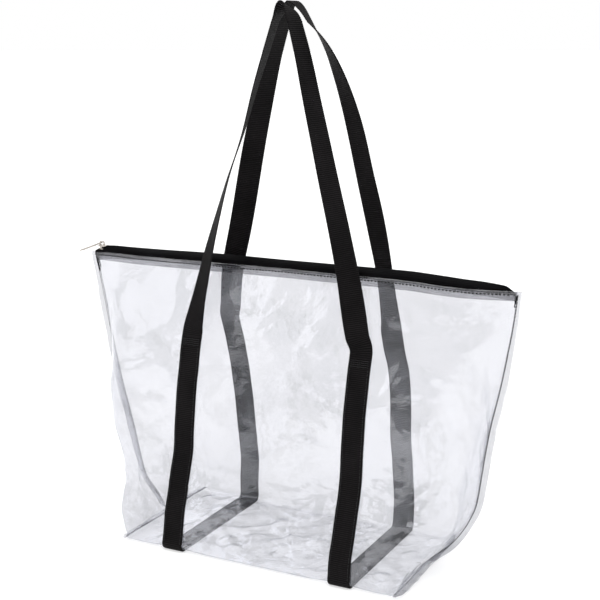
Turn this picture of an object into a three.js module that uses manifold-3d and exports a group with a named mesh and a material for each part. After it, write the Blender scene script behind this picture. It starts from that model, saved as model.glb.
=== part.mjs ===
// Clear zip-top tote beach bag: one clear PVC sheet for front, bottom and back, boxed bottom corners,
// a closed coil zipper, and one run of black webbing that makes two shoulder handles and passes under the bottom.
// Millimetres, +Z up, X along the bag's width, Y front (-) to back (+). The origin is on the ground at the centre.
import * as THREE from "three";
import Module from "manifold-3d";
import { mergeVertices } from "three/addons/utils/BufferGeometryUtils.js";

// ---------------------------------------------------------------- driving dimensions
const SHEET = 0.5; // clear sheet thickness
const HEM_EXTRA = 0.6; // the folded hem is thicker by this
const HEM_Z = 296.5; // lower edge of the folded hem
const HEM_STITCH_Z = 301.2; // stitch line across the hem
const TOP_Z = 305; // top edge of the hem
const BASE_Z = 3.0; // lowest row of the walls
const BOTTOM_Z = [1.9, 2.4]; // the bottom sheet
const GAP = 0.3; // clearance between touching pieces
const BASE_HALF_X = 160; // boxed bottom, half length
const BASE_HALF_Y = 86; // boxed bottom, half depth
const SPLIT_X = 100; // the panels are divided under the webbing here
const WEB_W = 25.4; // webbing width
const WEB_T = 1.4; // webbing thickness
const STRAP_X = 100; // centre of each webbing run
const SEWN_TOP = 230; // the webbing is sewn to the panels up to here
const STITCH_IN = 2.6; // stitch line from the webbing's edge
const THREAD_W = 0.6, THREAD_T = 0.3;
const FLANGE_W = 5, FLANGE_T = 1.0; // raw seam allowance of the side seams
const SLIDER_X = -239; // centre of the slider at rest
const ZIP_TOP = 312.8; // top of the tapes
const ZIP_TAPER = [[205, 0], [237, -1.8], [243, -4]]; // how the tapes drop at the right-hand end
const PIVOT = [-243, 0, 317]; // pull tab's hinge
const PULL_DROOP = 22; // degrees below -X at rest
const PULL_LEN = 33, PULL_W = 8, PULL_T = 1.4;

// [z, value] tables, interpolated linearly
const FRONT_Y = [[0, 86], [30, 78], [77, 66], [120, 57], [160, 50], [200, 43], [230, 34.5], [270, 21], [300, 12.5], [305, 11.5]];
const BACK_Y = [[0, 87], [33, 88], [85, 84], [130, 77], [157, 71], [190, 63], [220, 51.5], [240, 43.5], [260, 36], [282, 25], [300, 13], [305, 11.5]];
const SEAM_RIGHT = [[0, 159], [6, 161], [16, 170], [31, 187], [50, 201], [62, 207.5], [80, 214.4], [112, 219], [137, 222.3], [164, 226.5], [195, 233], [213, 236.6], [245, 242], [270, 245.9], [296, 248.8], [305, 249.6]];
const SEAM_LEFT = [[0, 159], [6, 161], [24, 171.3], [47, 189.5], [72, 196.5], [102, 203.6], [133, 212.1], [158, 218.8], [198, 227.9], [245, 236.9], [285, 244.7], [299, 248], [305, 249]];
const CORNER = [[0, 160], [30, 166], [80, 172], [112, 178], [160, 185], [213, 188], [250, 190], [305, 195]];
const ROUND = [[0, 10], [80, 24], [160, 42], [230, 52], [305, 60]];
const ROWS = [BASE_Z, 14, 30, 50, 77, 110, 150, 190, SEWN_TOP, 262, 290, HEM_Z - 0.2, HEM_Z + 0.2, TOP_Z];

// handle legs: [z, x, y, twist in degrees]. At no twist a leg faces front or back; at 90 it faces sideways.
const LEG_FRONT_LEFT = [[231, -99.7, -35.3, 0], [250, -96.1, -35.0, 13], [270, -91.6, -34.6, 25], [295, -85.9, -33.3, 33], [330, -77.7, -31.5, 43], [370, -67.1, -28.7, 53], [410, -55.5, -25.5, 61], [450, -42.5, -21.6, 62], [490, -31.7, -18.8, 66], [530, -18.8, -15.8, 74], [562, -8, -13.6, 80]];
const LEG_FRONT_RIGHT = [[231, 99.9, -35.3, 0], [262, 93.1, -33.5, 20], [295, 86.2, -30.8, 41], [330, 77.8, -28.3, 53], [370, 67.4, -26, 58], [410, 56.4, -23.6, 62], [450, 45.7, -21, 66], [490, 34.9, -18.4, 70], [530, 24.3, -15.7, 75], [562, 14.2, -13.5, 80]];
const LEG_BACK_LEFT = [[231, -100.2, 47.9, 0], [262, -96.5, 43.6, 7], [295, -91.3, 39.7, 14], [330, -81.8, 36.4, 21], [370, -71.3, 32.8, 30], [410, -61.4, 28.7, 39], [450, -50.7, 24.5, 49], [490, -38.6, 20.4, 61], [530, -25.2, 16.4, 74], [562, -12.2, 13.6, 84]];
const LEG_BACK_RIGHT = [[231, 100, 47.9, 0], [250, 98.9, 45.3, 10], [270, 97.1, 42.7, 18], [295, 94.3, 40, 22], [330, 89.2, 36.5, 17], [370, 81.9, 32.6, 14], [410, 73.6, 28.5, 18], [450, 65.5, 24.8, 21], [490, 54.6, 21.2, 32], [520, 43.7, 18, 45], [545, 30.5, 15.5, 63], [562, 17.6, 13.6, 78]];
const APEX_FRONT = [4.1, -13.2, 578.2]; // top of each handle's centreline
const APEX_BACK = [-2.3, 13.2, 583];
const ACROSS_FRONT = [-0.05, -0.92, 0.39]; // direction across the webbing at the top
const ACROSS_BACK = [0, -1, 0];
const ARC_STEPS = 10, ARC_POWER = 1.6; // the fold over the top

// ---------------------------------------------------------------- small helpers
function lin(table, z) {
  if (z <= table[0][0]) return table[0][1];
  for (let i = 1; i < table.length; i++)
    if (z <= table[i][0]) {
      const [a, va] = table[i - 1], [b, vb] = table[i];
      return va + ((z - a) / (b - a)) * (vb - va);
    }
  return table[table.length - 1][1];
}
const add = (a, b, k = 1) => [a[0] + k * b[0], a[1] + k * b[1], a[2] + k * b[2]];
const unit = (a) => { const l = Math.hypot(...a); return a.map((v) => v / l); };
const cross = (a, b) => [a[1] * b[2] - a[2] * b[1], a[2] * b[0] - a[0] * b[2], a[0] * b[1] - a[1] * b[0]];
const dot = (a, b) => a[0] * b[0] + a[1] * b[1] + a[2] * b[2];

// A closed geometry from vertices and triangles, turned the right way out.
function closed(verts, tris) {
  let v = 0;
  for (const [a, b, c] of tris) v += dot(verts[a], cross(verts[b], verts[c]));
  const g = new THREE.BufferGeometry();
  g.setAttribute("position", new THREE.BufferAttribute(new Float32Array(verts.flat()), 3));
  g.setIndex((v < 0 ? tris.map(([a, b, c]) => [a, c, b]) : tris).flat());
  g.computeVertexNormals();
  return g;
}
// A sheet with two faces given as grids of points, and walls round its edge.
function sheet(outer, inner) {
  const m = outer.length, n = outer[0].length, verts = [...outer.flat(), ...inner.flat()], t = [], k = m * n;
  const at = (i, j) => i * n + j;
  for (let i = 0; i < m - 1; i++)
    for (let j = 0; j < n - 1; j++) {
      const a = at(i, j), b = at(i, j + 1), c = at(i + 1, j + 1), d = at(i + 1, j);
      t.push([a, b, c], [a, c, d], [k + a, k + c, k + b], [k + a, k + d, k + c]);
    }
  const wall = (a, b) => t.push([a, k + b, b], [a, k + a, k + b]);
  for (let j = 0; j < n - 1; j++) { wall(at(0, j), at(0, j + 1)); wall(at(m - 1, j + 1), at(m - 1, j)); }
  for (let i = 0; i < m - 1; i++) { wall(at(i + 1, 0), at(i, 0)); wall(at(i, n - 1), at(i + 1, n - 1)); }
  return closed(verts, t);
}
// A bar through rings of four points, closed with a face at each end, or joined up into a loop.
function bar(rings, loop = false) {
  const verts = rings.flat(), t = [], n = rings.length, last = loop ? n : n - 1;
  for (let i = 0; i < last; i++)
    for (let j = 0; j < 4; j++) {
      const a = i * 4 + j, b = i * 4 + ((j + 1) % 4), c = ((i + 1) % n) * 4 + ((j + 1) % 4), d = ((i + 1) % n) * 4 + j;
      t.push([a, b, c], [a, c, d]);
    }
  if (!loop) { t.push([0, 2, 1], [0, 3, 2]); const e = (n - 1) * 4; t.push([e, e + 1, e + 2], [e, e + 2, e + 3]); }
  return closed(verts, t);
}

const wasm = await Module();
wasm.setup();
function solid(geometry) {
  const g = geometry.clone();
  g.deleteAttribute("normal"); g.deleteAttribute("uv");
  const m = mergeVertices(g, 1e-4);
  return new wasm.Manifold(new wasm.Mesh({ numProp: 3, vertProperties: m.attributes.position.array, triVerts: new Uint32Array(m.index.array) }));
}
function geometryOf(manifold) {
  const m = manifold.getMesh(), v = new Float32Array(m.numVert * 3);
  for (let i = 0; i < m.numVert; i++) v.set(m.vertProperties.subarray(i * m.numProp, i * m.numProp + 3), i * 3);
  const g = new THREE.BufferGeometry();
  g.setAttribute("position", new THREE.BufferAttribute(v, 3));
  g.setIndex(new THREE.BufferAttribute(m.triVerts, 1));
  g.computeVertexNormals();
  return g;
}

// ---------------------------------------------------------------- materials
const clear = new THREE.MeshStandardMaterial({ color: 0xe9eaee, roughness: 0.08, metalness: 0, transparent: true, opacity: 0.25 });
const webbing = new THREE.MeshStandardMaterial({ color: 0x18171a, roughness: 0.85, metalness: 0 });
const tape = new THREE.MeshStandardMaterial({ color: 0x121214, roughness: 0.9, metalness: 0 });
const coil = new THREE.MeshStandardMaterial({ color: 0x0c0c0e, roughness: 0.45, metalness: 0 });
const metal = new THREE.MeshStandardMaterial({ color: 0xc9c9cc, roughness: 0.25, metalness: 1 });
const thread = new THREE.MeshStandardMaterial({ color: 0x101012, roughness: 0.8, metalness: 0 });

const bag = new THREE.Group();
const body = { root: new THREE.Group(), front: new THREE.Group(), back: new THREE.Group(), handles: new THREE.Group(), zipper: new THREE.Group() };
for (const g of Object.values(body)) bag.add(g);
function place(group, name, geometry, material) {
  const mesh = new THREE.Mesh(geometry, material);
  mesh.name = name;
  group.add(mesh);
  return mesh;
}

// ---------------------------------------------------------------- walls
// depth of the front (side -1) or back (side +1) face at a height
const depth = (side, z) => lin(side < 0 ? FRONT_Y : BACK_Y, z);
const extra = (z) => (z > HEM_Z ? HEM_EXTRA : 0);

// centre of a panel, between the two webbing runs
function panelCentre(side) {
  const cols = [-(SPLIT_X - 0.15), -87.3, -50, 0, 50, 87.3, SPLIT_X - 0.15];
  const outer = ROWS.map((z) => cols.map((x) => [x, side * (depth(side, z) + extra(z)), z]));
  const inner = ROWS.map((z) => cols.map((x) => [x, side * (depth(side, z) - SHEET), z]));
  return sheet(outer, inner);
}
// the side part of a panel: flat past the webbing, round the soft corner, and back to the side seam
function sectionOf(side, end, z) {
  const D = depth(side, z), X = lin(end < 0 ? SEAM_LEFT : SEAM_RIGHT, z), yEnd = SHEET + 0.3;
  const c = Math.min(lin(CORNER, z), X - 0.5), r = lin(ROUND, z);
  const toSeam = [X - c, -(D - yEnd)], len = Math.hypot(...toSeam), k = Math.min(r, len * 0.6) / len;
  const a = [c - r, D], p = [c, D], b = [c + toSeam[0] * k, D + toSeam[1] * k], pts = [[SPLIT_X + 0.15, D], [112.7, D]];
  for (let i = 0; i <= 5; i++) {
    const t = i / 5, u = 1 - t;
    pts.push([u * u * a[0] + 2 * u * t * p[0] + t * t * b[0], u * u * a[1] + 2 * u * t * p[1] + t * t * b[1]]);
  }
  pts.push([(b[0] + X) / 2, (b[1] + yEnd) / 2], [X, yEnd]);
  return pts;
}
function panelSide(side, end) {
  const outer = [], inner = [];
  for (const z of ROWS) {
    const pts = sectionOf(side, end, z), o = [], n = [];
    pts.forEach((p, i) => {
      const q0 = pts[Math.max(i - 1, 0)], q1 = pts[Math.min(i + 1, pts.length - 1)];
      const d = Math.hypot(q1[0] - q0[0], q1[1] - q0[1]), nx = -(q1[1] - q0[1]) / d, ny = (q1[0] - q0[0]) / d;
      const e = extra(z) * (i < pts.length - 1 ? 1 : 0);
      o.push([end * (p[0] + nx * e), side * (p[1] + ny * e), z]);
      n.push([end * (p[0] - nx * SHEET), side * (p[1] - ny * SHEET), z]);
    });
    outer.push(o); inner.push(n);
  }
  return sheet(outer, inner);
}
for (const [side, word, group] of [[-1, "front", body.front], [1, "back", body.back]]) {
  place(group, word + "_panel_center", panelCentre(side), clear);
  place(body.root, word + "_panel_left", panelSide(side, -1), clear);
  place(body.root, word + "_panel_right", panelSide(side, 1), clear);
}
// the bottom: it lies on the ground between and beside the two webbing runs, and over them
{
  const half = [[0, 0], [60, 0], [84, BOTTOM_Z[0] - 0.1], [116, BOTTOM_Z[0] - 0.1], [126, 0.6], [140, 0.2], [BASE_HALF_X, BOTTOM_Z[0]]];
  const xs = [...half.slice(1).map(([x, z]) => [-x, z]).reverse(), ...half.slice(1)], ys = [-BASE_HALF_Y, 12, BASE_HALF_Y];
  const t = BOTTOM_Z[1] - BOTTOM_Z[0];
  place(body.root, "bottom_panel", sheet(ys.map((y) => xs.map(([x, z]) => [x, y, z + t])), ys.map((y) => xs.map(([x, z]) => [x, y, z]))), clear);
}

// ---------------------------------------------------------------- seam allowances and their stitching
const SEAM_ROWS = [13, 31, 50, 77, 112, 150, 195, 245, 285, 303];
for (const [end, word, table] of [[-1, "left", SEAM_LEFT], [1, "right", SEAM_RIGHT]]) {
  const edge = (z, dx, y) => [end * (lin(table, z) + dx), y, z];
  const w = (z) => FLANGE_W + (z < 100 ? 1 : 0);
  place(body.root, "side_flange_" + word, bar(SEAM_ROWS.map((z) => [edge(z, 0.5, -FLANGE_T / 2), edge(z, w(z), -FLANGE_T / 2), edge(z, w(z), FLANGE_T / 2), edge(z, 0.5, FLANGE_T / 2)])), clear);
  const y0 = -FLANGE_T / 2 - GAP, y1 = y0 - THREAD_T;
  place(body.root, "side_seam_stitching_" + word, bar(SEAM_ROWS.map((z) => [edge(z, 0.8, y1), edge(z, 0.8 + THREAD_W, y1), edge(z, 0.8 + THREAD_W, y0), edge(z, 0.8, y0)])), thread);
  const ys = [-84, -40, 0, 40, 84], gx = (x, y, z) => [end * x, y, z];
  place(body.root, "gusset_flange_" + word, bar(ys.map((y) => [gx(160.8, y, 2.6), gx(166.5, y, 3.6), gx(166.3, y, 4.6), gx(160.8, y, 3.6)])), clear);
  place(body.root, "gusset_stitching_" + word, bar(ys.map((y) => [gx(161.6, y * 0.98, 4.2), gx(162.2, y * 0.98, 4.3), gx(162.2, y * 0.98, 4.6), gx(161.6, y * 0.98, 4.5)])), thread);
}

// ---------------------------------------------------------------- webbing sewn to the sheet
const STRAP_ROWS = ROWS.filter((z) => z <= SEWN_TOP);
for (const [side, word, group] of [[-1, "front", body.front], [1, "back", body.back]])
  for (const [sx, end] of [[-1, "left"], [1, "right"]]) {
    const x0 = sx * STRAP_X, h = WEB_W / 2, face = (z, out) => side * (depth(side, z) + out);
    const a = GAP, b = GAP + WEB_T;
    place(group, word + "_strap_" + end, bar(STRAP_ROWS.map((z) => [[x0 - h, face(z, a), z], [x0 + h, face(z, a), z], [x0 + h, face(z, b), z], [x0 - h, face(z, b), z]])), webbing);
    // two stitch lines joined at their ends, lying on the webbing
    const c = b + GAP, d = c + THREAD_T, w = h - STITCH_IN, n = w - THREAD_W, zs = [8, 14, 30, 50, 77, 110, 150, 190, 219.4];
    const ring = (x, xi, z, zi) => [[x0 + x, face(z, c), z], [x0 + xi, face(zi, c), zi], [x0 + xi, face(zi, d), zi], [x0 + x, face(z, d), z]];
    const loop = [];
    zs.forEach((z, i) => loop.push(ring(-w, -n, z, i === 0 ? z + THREAD_W : i === zs.length - 1 ? z - THREAD_W : z)));
    [...zs].reverse().forEach((z, i) => loop.push(ring(w, n, z, i === 0 ? z - THREAD_W : i === zs.length - 1 ? z + THREAD_W : z)));
    place(group, word + "_strap_stitching_" + end, bar(loop, true), thread);
    // the dense tack where the webbing leaves the sheet
    const t0 = 221.5, t1 = 228.5;
    place(group, word + "_strap_tack_" + end, bar([[t0, 0], [t1, 0]].map(([z]) => [[x0 - w, face(z, c), z], [x0 + w, face(z, c), z], [x0 + w, face(z, d + 0.2), z], [x0 - w, face(z, d + 0.2), z]])), thread);
  }
for (const [sx, end] of [[-1, "left"], [1, "right"]]) {
  const x0 = sx * STRAP_X, h = WEB_W / 2, ys = [-(BASE_HALF_Y + 1.5), -40, 0, 40, BASE_HALF_Y + 2];
  place(body.root, "bottom_strap_" + end, bar(ys.map((y) => [[x0 - h, y, 0], [x0 + h, y, 0], [x0 + h, y, WEB_T], [x0 - h, y, WEB_T]])), webbing);
  const w = h - STITCH_IN, n = w - THREAD_W, z0 = BOTTOM_Z[1] + GAP, z1 = z0 + THREAD_T, q = [-80, 80];
  const ring = (x, xi, y, yi) => [[x0 + x, y, z0], [x0 + xi, yi, z0], [x0 + xi, yi, z1], [x0 + x, y, z1]];
  place(body.root, "bottom_strap_stitching_" + end, bar([ring(-w, -n, q[0], q[0] + THREAD_W), ring(-w, -n, q[1], q[1] - THREAD_W), ring(w, n, q[1], q[1] - THREAD_W), ring(w, n, q[0], q[0] + THREAD_W)], true), thread);
}

// ---------------------------------------------------------------- handles
// position, outward normal and run direction along a handle, from its left base over the top to its right base
function legPoints(table, sx, sy) {
  const out = [];
  for (let i = 0; i < table.length; i++) {
    const [z, x, y, tw] = table[i], f = (tw * Math.PI) / 180;
    out.push({ p: [x, y, z], n: [sx * Math.sin(f), sy * Math.cos(f), 0] });
    if (i < table.length - 1) { // one more point between, by a smooth interpolation
      const q = (k, c) => table[Math.min(Math.max(k, 0), table.length - 1)][c];
      const mid = (c) => (-q(i - 1, c) + 9 * q(i, c) + 9 * q(i + 1, c) - q(i + 2, c)) / 16;
      const inner = i > 0 && i < table.length - 2;
      const m = (c) => (inner ? mid(c) : (q(i, c) + q(i + 1, c)) / 2);
      const g = (m(3) * Math.PI) / 180;
      out.push({ p: [m(1), m(2), (z + table[i + 1][0]) / 2], n: [sx * Math.sin(g), sy * Math.cos(g), 0] });
    }
  }
  return out;
}
function handle(leftTable, rightTable, apex, across, sy) {
  const L = legPoints(leftTable, -1, sy), R = legPoints(rightTable, 1, sy).reverse();
  const a = L[L.length - 1], b = R[0], arc = [], N = ARC_STEPS, z0 = a.p[2], H = apex[2] - z0;
  const tA = unit(add(a.p, L[L.length - 3].p, -1)), tB = unit(add(R[2].p, b.p, -1));
  const wA = unit(cross(tA, a.n)), wB = unit(cross(tB, b.n));
  for (let i = 1; i < N; i++) {
    const u = -1 + (2 * i) / N, v = Math.abs(u), end = u < 0 ? a.p : b.p, wEnd = u < 0 ? wA : wB;
    const reach = u < 0 ? apex[0] - a.p[0] : b.p[0] - apex[0], k = v * v * (3 - 2 * v);
    const w = unit(add(across.map((c) => c * (1 - k)), wEnd, k));
    const t = unit([reach, 0, -Math.sign(u) * H * ARC_POWER * v ** (ARC_POWER - 1)]);
    arc.push({ p: [apex[0] + reach * u, apex[1] + (end[1] - apex[1]) * v, z0 + H * (1 - v ** ARC_POWER)], n: unit(cross(w, t)) });
  }
  const path = [...L, ...arc, ...R];
  const rings = path.map((q, i) => {
    const t = i === 0 || i === path.length - 1 ? [0, 0, i === 0 ? 1 : -1] : unit(add(path[i + 1].p, path[i - 1].p, -1));
    const n = unit(add(q.n, t, -dot(q.n, t))), w = cross(t, n), h = WEB_W / 2, k = WEB_T / 2;
    const at = (u, v) => add(add(q.p, w, u * h), n, v * k);
    return [at(-1, -1), at(1, -1), at(1, 1), at(-1, 1)];
  });
  return bar(rings);
}
place(body.handles, "front_handle", handle(LEG_FRONT_LEFT, LEG_FRONT_RIGHT, APEX_FRONT, ACROSS_FRONT, -1), webbing);
place(body.handles, "back_handle", handle(LEG_BACK_LEFT, LEG_BACK_RIGHT, APEX_BACK, ACROSS_BACK, 1), webbing);

// ---------------------------------------------------------------- zipper
// half the gap between the two hems along the top edge
function mouth(x) {
  const end = x < 0 ? -1 : 1, pts = sectionOf(-1, end, TOP_Z), u = Math.abs(x);
  for (let i = 1; i < pts.length; i++) if (u <= pts[i][0]) {
    const [x0, y0] = pts[i - 1], [x1, y1] = pts[i];
    return u <= x0 ? y0 : y0 + ((u - x0) / (x1 - x0)) * (y1 - y0);
  }
  return SHEET + 0.3;
}
const TAPE_XS = [-233.4, -226, -215, -190, -165, -140, -100, -50, 0, 50, 100, 140, 165, 190, 215, 232, 241];
for (const [side, word, group] of [[-1, "front", body.front], [1, "back", body.back]]) {
  // the tape rises from inside the hem to a flat run beside the coil
  const line = (x, k) => {
    const m = Math.max(mouth(x) - SHEET - GAP - 0.1, 1.2), t = 0.5 * k, top = ZIP_TOP + lin(ZIP_TAPER, x);
    return [[x, side * (m - t), 297], [x, side * (m - t), top - 3.2], [x, side * (0.35 + 0.6 * (m - 0.35) - t * 0.4), top - 0.6 - t * 0.9], [x, side * 0.35, top - t]];
  };
  const steep = (x) => Math.max(mouth(x) - SHEET - GAP - 0.1, 1.2) < 1.9;
  const xs = TAPE_XS.filter((x) => !steep(x));
  place(group, "zipper_tape_" + word, sheet(xs.map((x) => line(x, 0)), xs.map((x) => line(x, 1))), tape);
  place(group, "zipper_coil_" + word, bar([xs[0] + 6, ...xs.slice(2, -1), xs[xs.length - 1]].map((x) => [x, ZIP_TOP + lin(ZIP_TAPER, x)]).map(([x, z]) => [[x, side * 0.35, z - 2.4], [x, side * 1.25, z - 2.4], [x, side * 1.25, z - 0.9], [x, side * 0.35, z - 0.9]])), coil);
  // the stitch line across the hem, on its outside
  const zs = HEM_STITCH_Z, hx = [-236, -215, -190, -165, -140, -100, -50, 0, 50, 100, 140, 165, 190, 215, 236];
  const off = (x) => {
    const end = x < 0 ? -1 : 1, pts = sectionOf(side, end, zs), u = Math.abs(x);
    if (u <= pts[0][0]) return pts[0][1];
    for (let i = 1; i < pts.length; i++) if (u <= pts[i][0]) {
      const [x0, y0] = pts[i - 1], [x1, y1] = pts[i];
      return y0 + ((u - x0) / (x1 - x0)) * (y1 - y0);
    }
    return pts[pts.length - 1][1];
  };
  const y = (x, k) => side * (off(x) + HEM_EXTRA + 0.9 + k);
  place(group, word + "_hem_stitching", bar(hx.map((x) => [[x, y(x, 0), zs], [x, y(x, 0), zs + THREAD_W], [x, y(x, THREAD_T), zs + THREAD_W], [x, y(x, THREAD_T), zs]])), thread);
}

// the slider: two plates on a post, with a low bridge that carries the pull tab
{
  const plate = (z, t, w0, w1) => {
    const s = new THREE.Shape([[-5, -w0], [2, -w0], [5, -w1], [5, w1], [2, w0], [-5, w0]].map(([x, y]) => new THREE.Vector2(x, y)));
    return new THREE.ExtrudeGeometry(s, { depth: t, bevelEnabled: false }).translate(SLIDER_X, 0, z);
  };
  const box = (x0, x1, y0, y1, z0, z1) => new THREE.BoxGeometry(x1 - x0, y1 - y0, z1 - z0).translate((x0 + x1) / 2, (y0 + y1) / 2, (z0 + z1) / 2);
  const [px, , pz] = PIVOT;
  const parts = [
    plate(ZIP_TOP - 3.4, 0.7, 4.1, 3), plate(ZIP_TOP + 0.5, 1.0, 4.1, 3),
    box(SLIDER_X - 4.6, SLIDER_X - 2.2, -1.2, 1.2, ZIP_TOP - 3.2, ZIP_TOP + 1),
    box(px - 1.0, px - 0.1, -1.3, 1.3, ZIP_TOP + 1.2, pz + 1.5), // bridge: rear leg, top and front leg
    box(px - 1.0, px + 5.2, -1.3, 1.3, pz + 0.9, pz + 1.7),
    box(px + 4.3, px + 5.2, -1.3, 1.3, ZIP_TOP + 1.2, pz + 1.5),
  ].map(solid);
  place(body.zipper, "slider_body", geometryOf(parts.reduce((a, b) => a.add(b))), metal);

  // the pull tab: a plate with a window at its hinge end, so that the end bar passes under the bridge
  const outline = new THREE.Shape();
  const w = PULL_W / 2;
  outline.moveTo(-0.6, -2.6); outline.lineTo(3, -2.6); outline.lineTo(7, -w); outline.lineTo(PULL_LEN - 4, -w);
  outline.quadraticCurveTo(PULL_LEN, -w, PULL_LEN, 0); outline.quadraticCurveTo(PULL_LEN, w, PULL_LEN - 4, w);
  outline.lineTo(7, w); outline.lineTo(3, 2.6); outline.lineTo(-0.6, 2.6); outline.closePath();
  const hole = new THREE.Path();
  hole.moveTo(0.6, -1.7); hole.lineTo(0.6, 1.7); hole.lineTo(5.4, 1.7); hole.lineTo(5.4, -1.7); hole.closePath();
  outline.holes.push(hole);
  const tab = new THREE.ExtrudeGeometry(outline, { depth: PULL_T, bevelEnabled: false, curveSegments: 4 });
  const mesh = place(new THREE.Group(), "pull_tab", geometryOf(solid(tab.translate(0, 0, -PULL_T / 2))), metal);
  const hinge = new THREE.Group();
  hinge.position.set(px + 1.5, 0, pz);
  hinge.rotation.y = Math.PI - (PULL_DROOP * Math.PI) / 180;
  hinge.add(mesh);
  body.zipper.add(hinge);
}

export default bag;
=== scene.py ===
# Clear zip-top beach tote: the visible surfaces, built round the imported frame.
# Working values are in millimetres, in the frame's own axes; meshes are written in metres.
import math

import bmesh
import bpy
import numpy as np
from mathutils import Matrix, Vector


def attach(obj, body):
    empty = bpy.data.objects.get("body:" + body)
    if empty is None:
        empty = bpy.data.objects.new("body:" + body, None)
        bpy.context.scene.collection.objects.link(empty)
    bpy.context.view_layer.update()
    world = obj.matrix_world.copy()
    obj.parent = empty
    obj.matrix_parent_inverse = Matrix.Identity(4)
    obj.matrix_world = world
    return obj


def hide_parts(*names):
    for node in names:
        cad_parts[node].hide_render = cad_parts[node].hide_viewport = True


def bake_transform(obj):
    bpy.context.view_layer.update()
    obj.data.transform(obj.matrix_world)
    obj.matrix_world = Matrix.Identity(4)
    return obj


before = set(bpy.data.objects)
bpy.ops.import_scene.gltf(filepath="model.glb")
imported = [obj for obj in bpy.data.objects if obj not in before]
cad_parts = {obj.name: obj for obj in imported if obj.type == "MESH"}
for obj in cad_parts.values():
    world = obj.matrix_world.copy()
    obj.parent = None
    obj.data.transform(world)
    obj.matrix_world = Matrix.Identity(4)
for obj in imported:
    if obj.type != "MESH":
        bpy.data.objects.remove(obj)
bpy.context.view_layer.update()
MM = 0.001

# ------------------------------------------------------------------ dimensions
SHEET = 0.45
TOP_Z = 305.0
HEM_Z = 296.5
HEM_STITCH_Z = 302.6
STRAP_X = 100.0
WEB_W = 25.4
WEB_T = 1.4
SEWN_TOP = 230.6
STITCH_IN = 2.6
BEND = 4.0  # radius of the sheet's bend from wall to bottom
BASE_X, BASE_Y = 160.0, 86.0
CORNER_LIFT = 4.3
HEM_SPLIT = -88.0

FRONT_Y = [[0, 86], [30, 78], [77, 66], [120, 57], [160, 50], [200, 43], [230, 34.5], [270, 21], [300, 12.5], [305, 11.5]]
BACK_Y = [[0, 87], [33, 88], [85, 84], [130, 77], [157, 71], [190, 63], [220, 51.5], [240, 43.5], [260, 36], [282, 25], [300, 13], [305, 11.5]]
SEAM_RIGHT = [[0, 159], [6, 161], [16, 170], [31, 187], [50, 201], [62, 207.5], [80, 214.4], [112, 219], [137, 222.3], [164, 226.5], [195, 233], [213, 236.6], [245, 242], [270, 245.9], [296, 248.8], [305, 249.6]]
SEAM_LEFT = [[0, 159], [6, 161], [24, 171.3], [47, 189.5], [72, 196.5], [102, 203.6], [133, 212.1], [158, 218.8], [198, 227.9], [245, 236.9], [285, 244.7], [299, 248], [305, 249]]
CORNER = [[0, 160], [30, 166], [80, 172], [112, 178], [160, 185], [213, 188], [250, 190], [305, 195]]
ROUND = [[0, 3], [25, 9], [80, 24], [160, 42], [230, 52], [305, 60]]
BOTTOM = [[0, 0.25], [60, 0.25], [84, 2.1], [116, 2.1], [126, 0.85], [140, 0.45], [147, 0.6], [160, 4.3]]

LEG_FRONT_LEFT = [[231, -99.7, -35.3, 0], [250, -96.1, -35.0, 13], [270, -91.6, -34.6, 25], [295, -85.9, -33.3, 33], [330, -77.7, -31.5, 43], [370, -67.1, -28.7, 53], [410, -55.5, -25.5, 61], [450, -41.9, -21.6, 67], [490, -30.6, -18.8, 73], [530, -18.2, -15.8, 78], [562, -8, -13.6, 80]]
LEG_FRONT_RIGHT = [[231, 99.9, -35.3, 0], [262, 93.1, -33.5, 20], [295, 86.2, -30.8, 41], [330, 77.8, -28.3, 53], [370, 67.4, -26, 58], [410, 56.4, -23.6, 62], [450, 45.7, -21, 66], [490, 34.9, -18.4, 70], [530, 24.3, -15.7, 75], [562, 14.2, -13.5, 80]]
LEG_BACK_LEFT = [[231, -100.2, 47.9, 0], [262, -96.5, 43.6, 7], [295, -91.3, 39.7, 14], [330, -81.8, 36.4, 21], [370, -71.3, 32.8, 30], [410, -61.4, 28.7, 39], [450, -50.7, 24.5, 49], [490, -38.6, 20.4, 61], [530, -25.2, 16.4, 74], [562, -12.2, 13.6, 84]]
LEG_BACK_RIGHT = [[231, 100, 47.9, 0], [250, 98.9, 45.3, 10], [270, 97.1, 42.7, 18], [295, 94.3, 40, 22], [330, 89.2, 36.5, 17], [370, 81.9, 32.6, 14], [410, 73.6, 28.5, 18], [450, 65.5, 24.8, 21], [490, 54.6, 21.2, 32], [520, 43.7, 18, 45], [545, 30.5, 15.5, 63], [562, 17.6, 13.6, 78]]
APEX_FRONT = (4.1, -13.2, 578.2)
APEX_BACK = (-2.3, 13.2, 583.0)
ACROSS_FRONT = (-0.05, -0.92, 0.39)  # direction across the webbing at the top
ACROSS_BACK = (0.0, -1.0, 0.0)
ARC_POWER = 1.6
ZIP_TOP = 312.8
MOUTH_LIFT = [[-250, 0], [-232, 1.2], [-183, 1.8], [-100, 3.0], [-47, 3.3], [25, 3.5], [90, 3.4], [135, 3.1], [170, 1.5], [205, 0.1], [250, 0]]
TAPE_DROP = [[-251, -4.2], [-246, -2.2], [-238, 0], [205, 0], [237, -1.8], [243, -4], [248.5, -7]]
RIB = 2.05  # webbing rib pitch


# ------------------------------------------------------------------ small maths
def smooth(x, a, b):
    t = np.clip((np.asarray(x, float) - a) / (b - a), 0, 1)
    return t * t * (3 - 2 * t)


def unit(v):
    return v / np.maximum(np.linalg.norm(v, axis=-1, keepdims=True), 1e-9)


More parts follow.
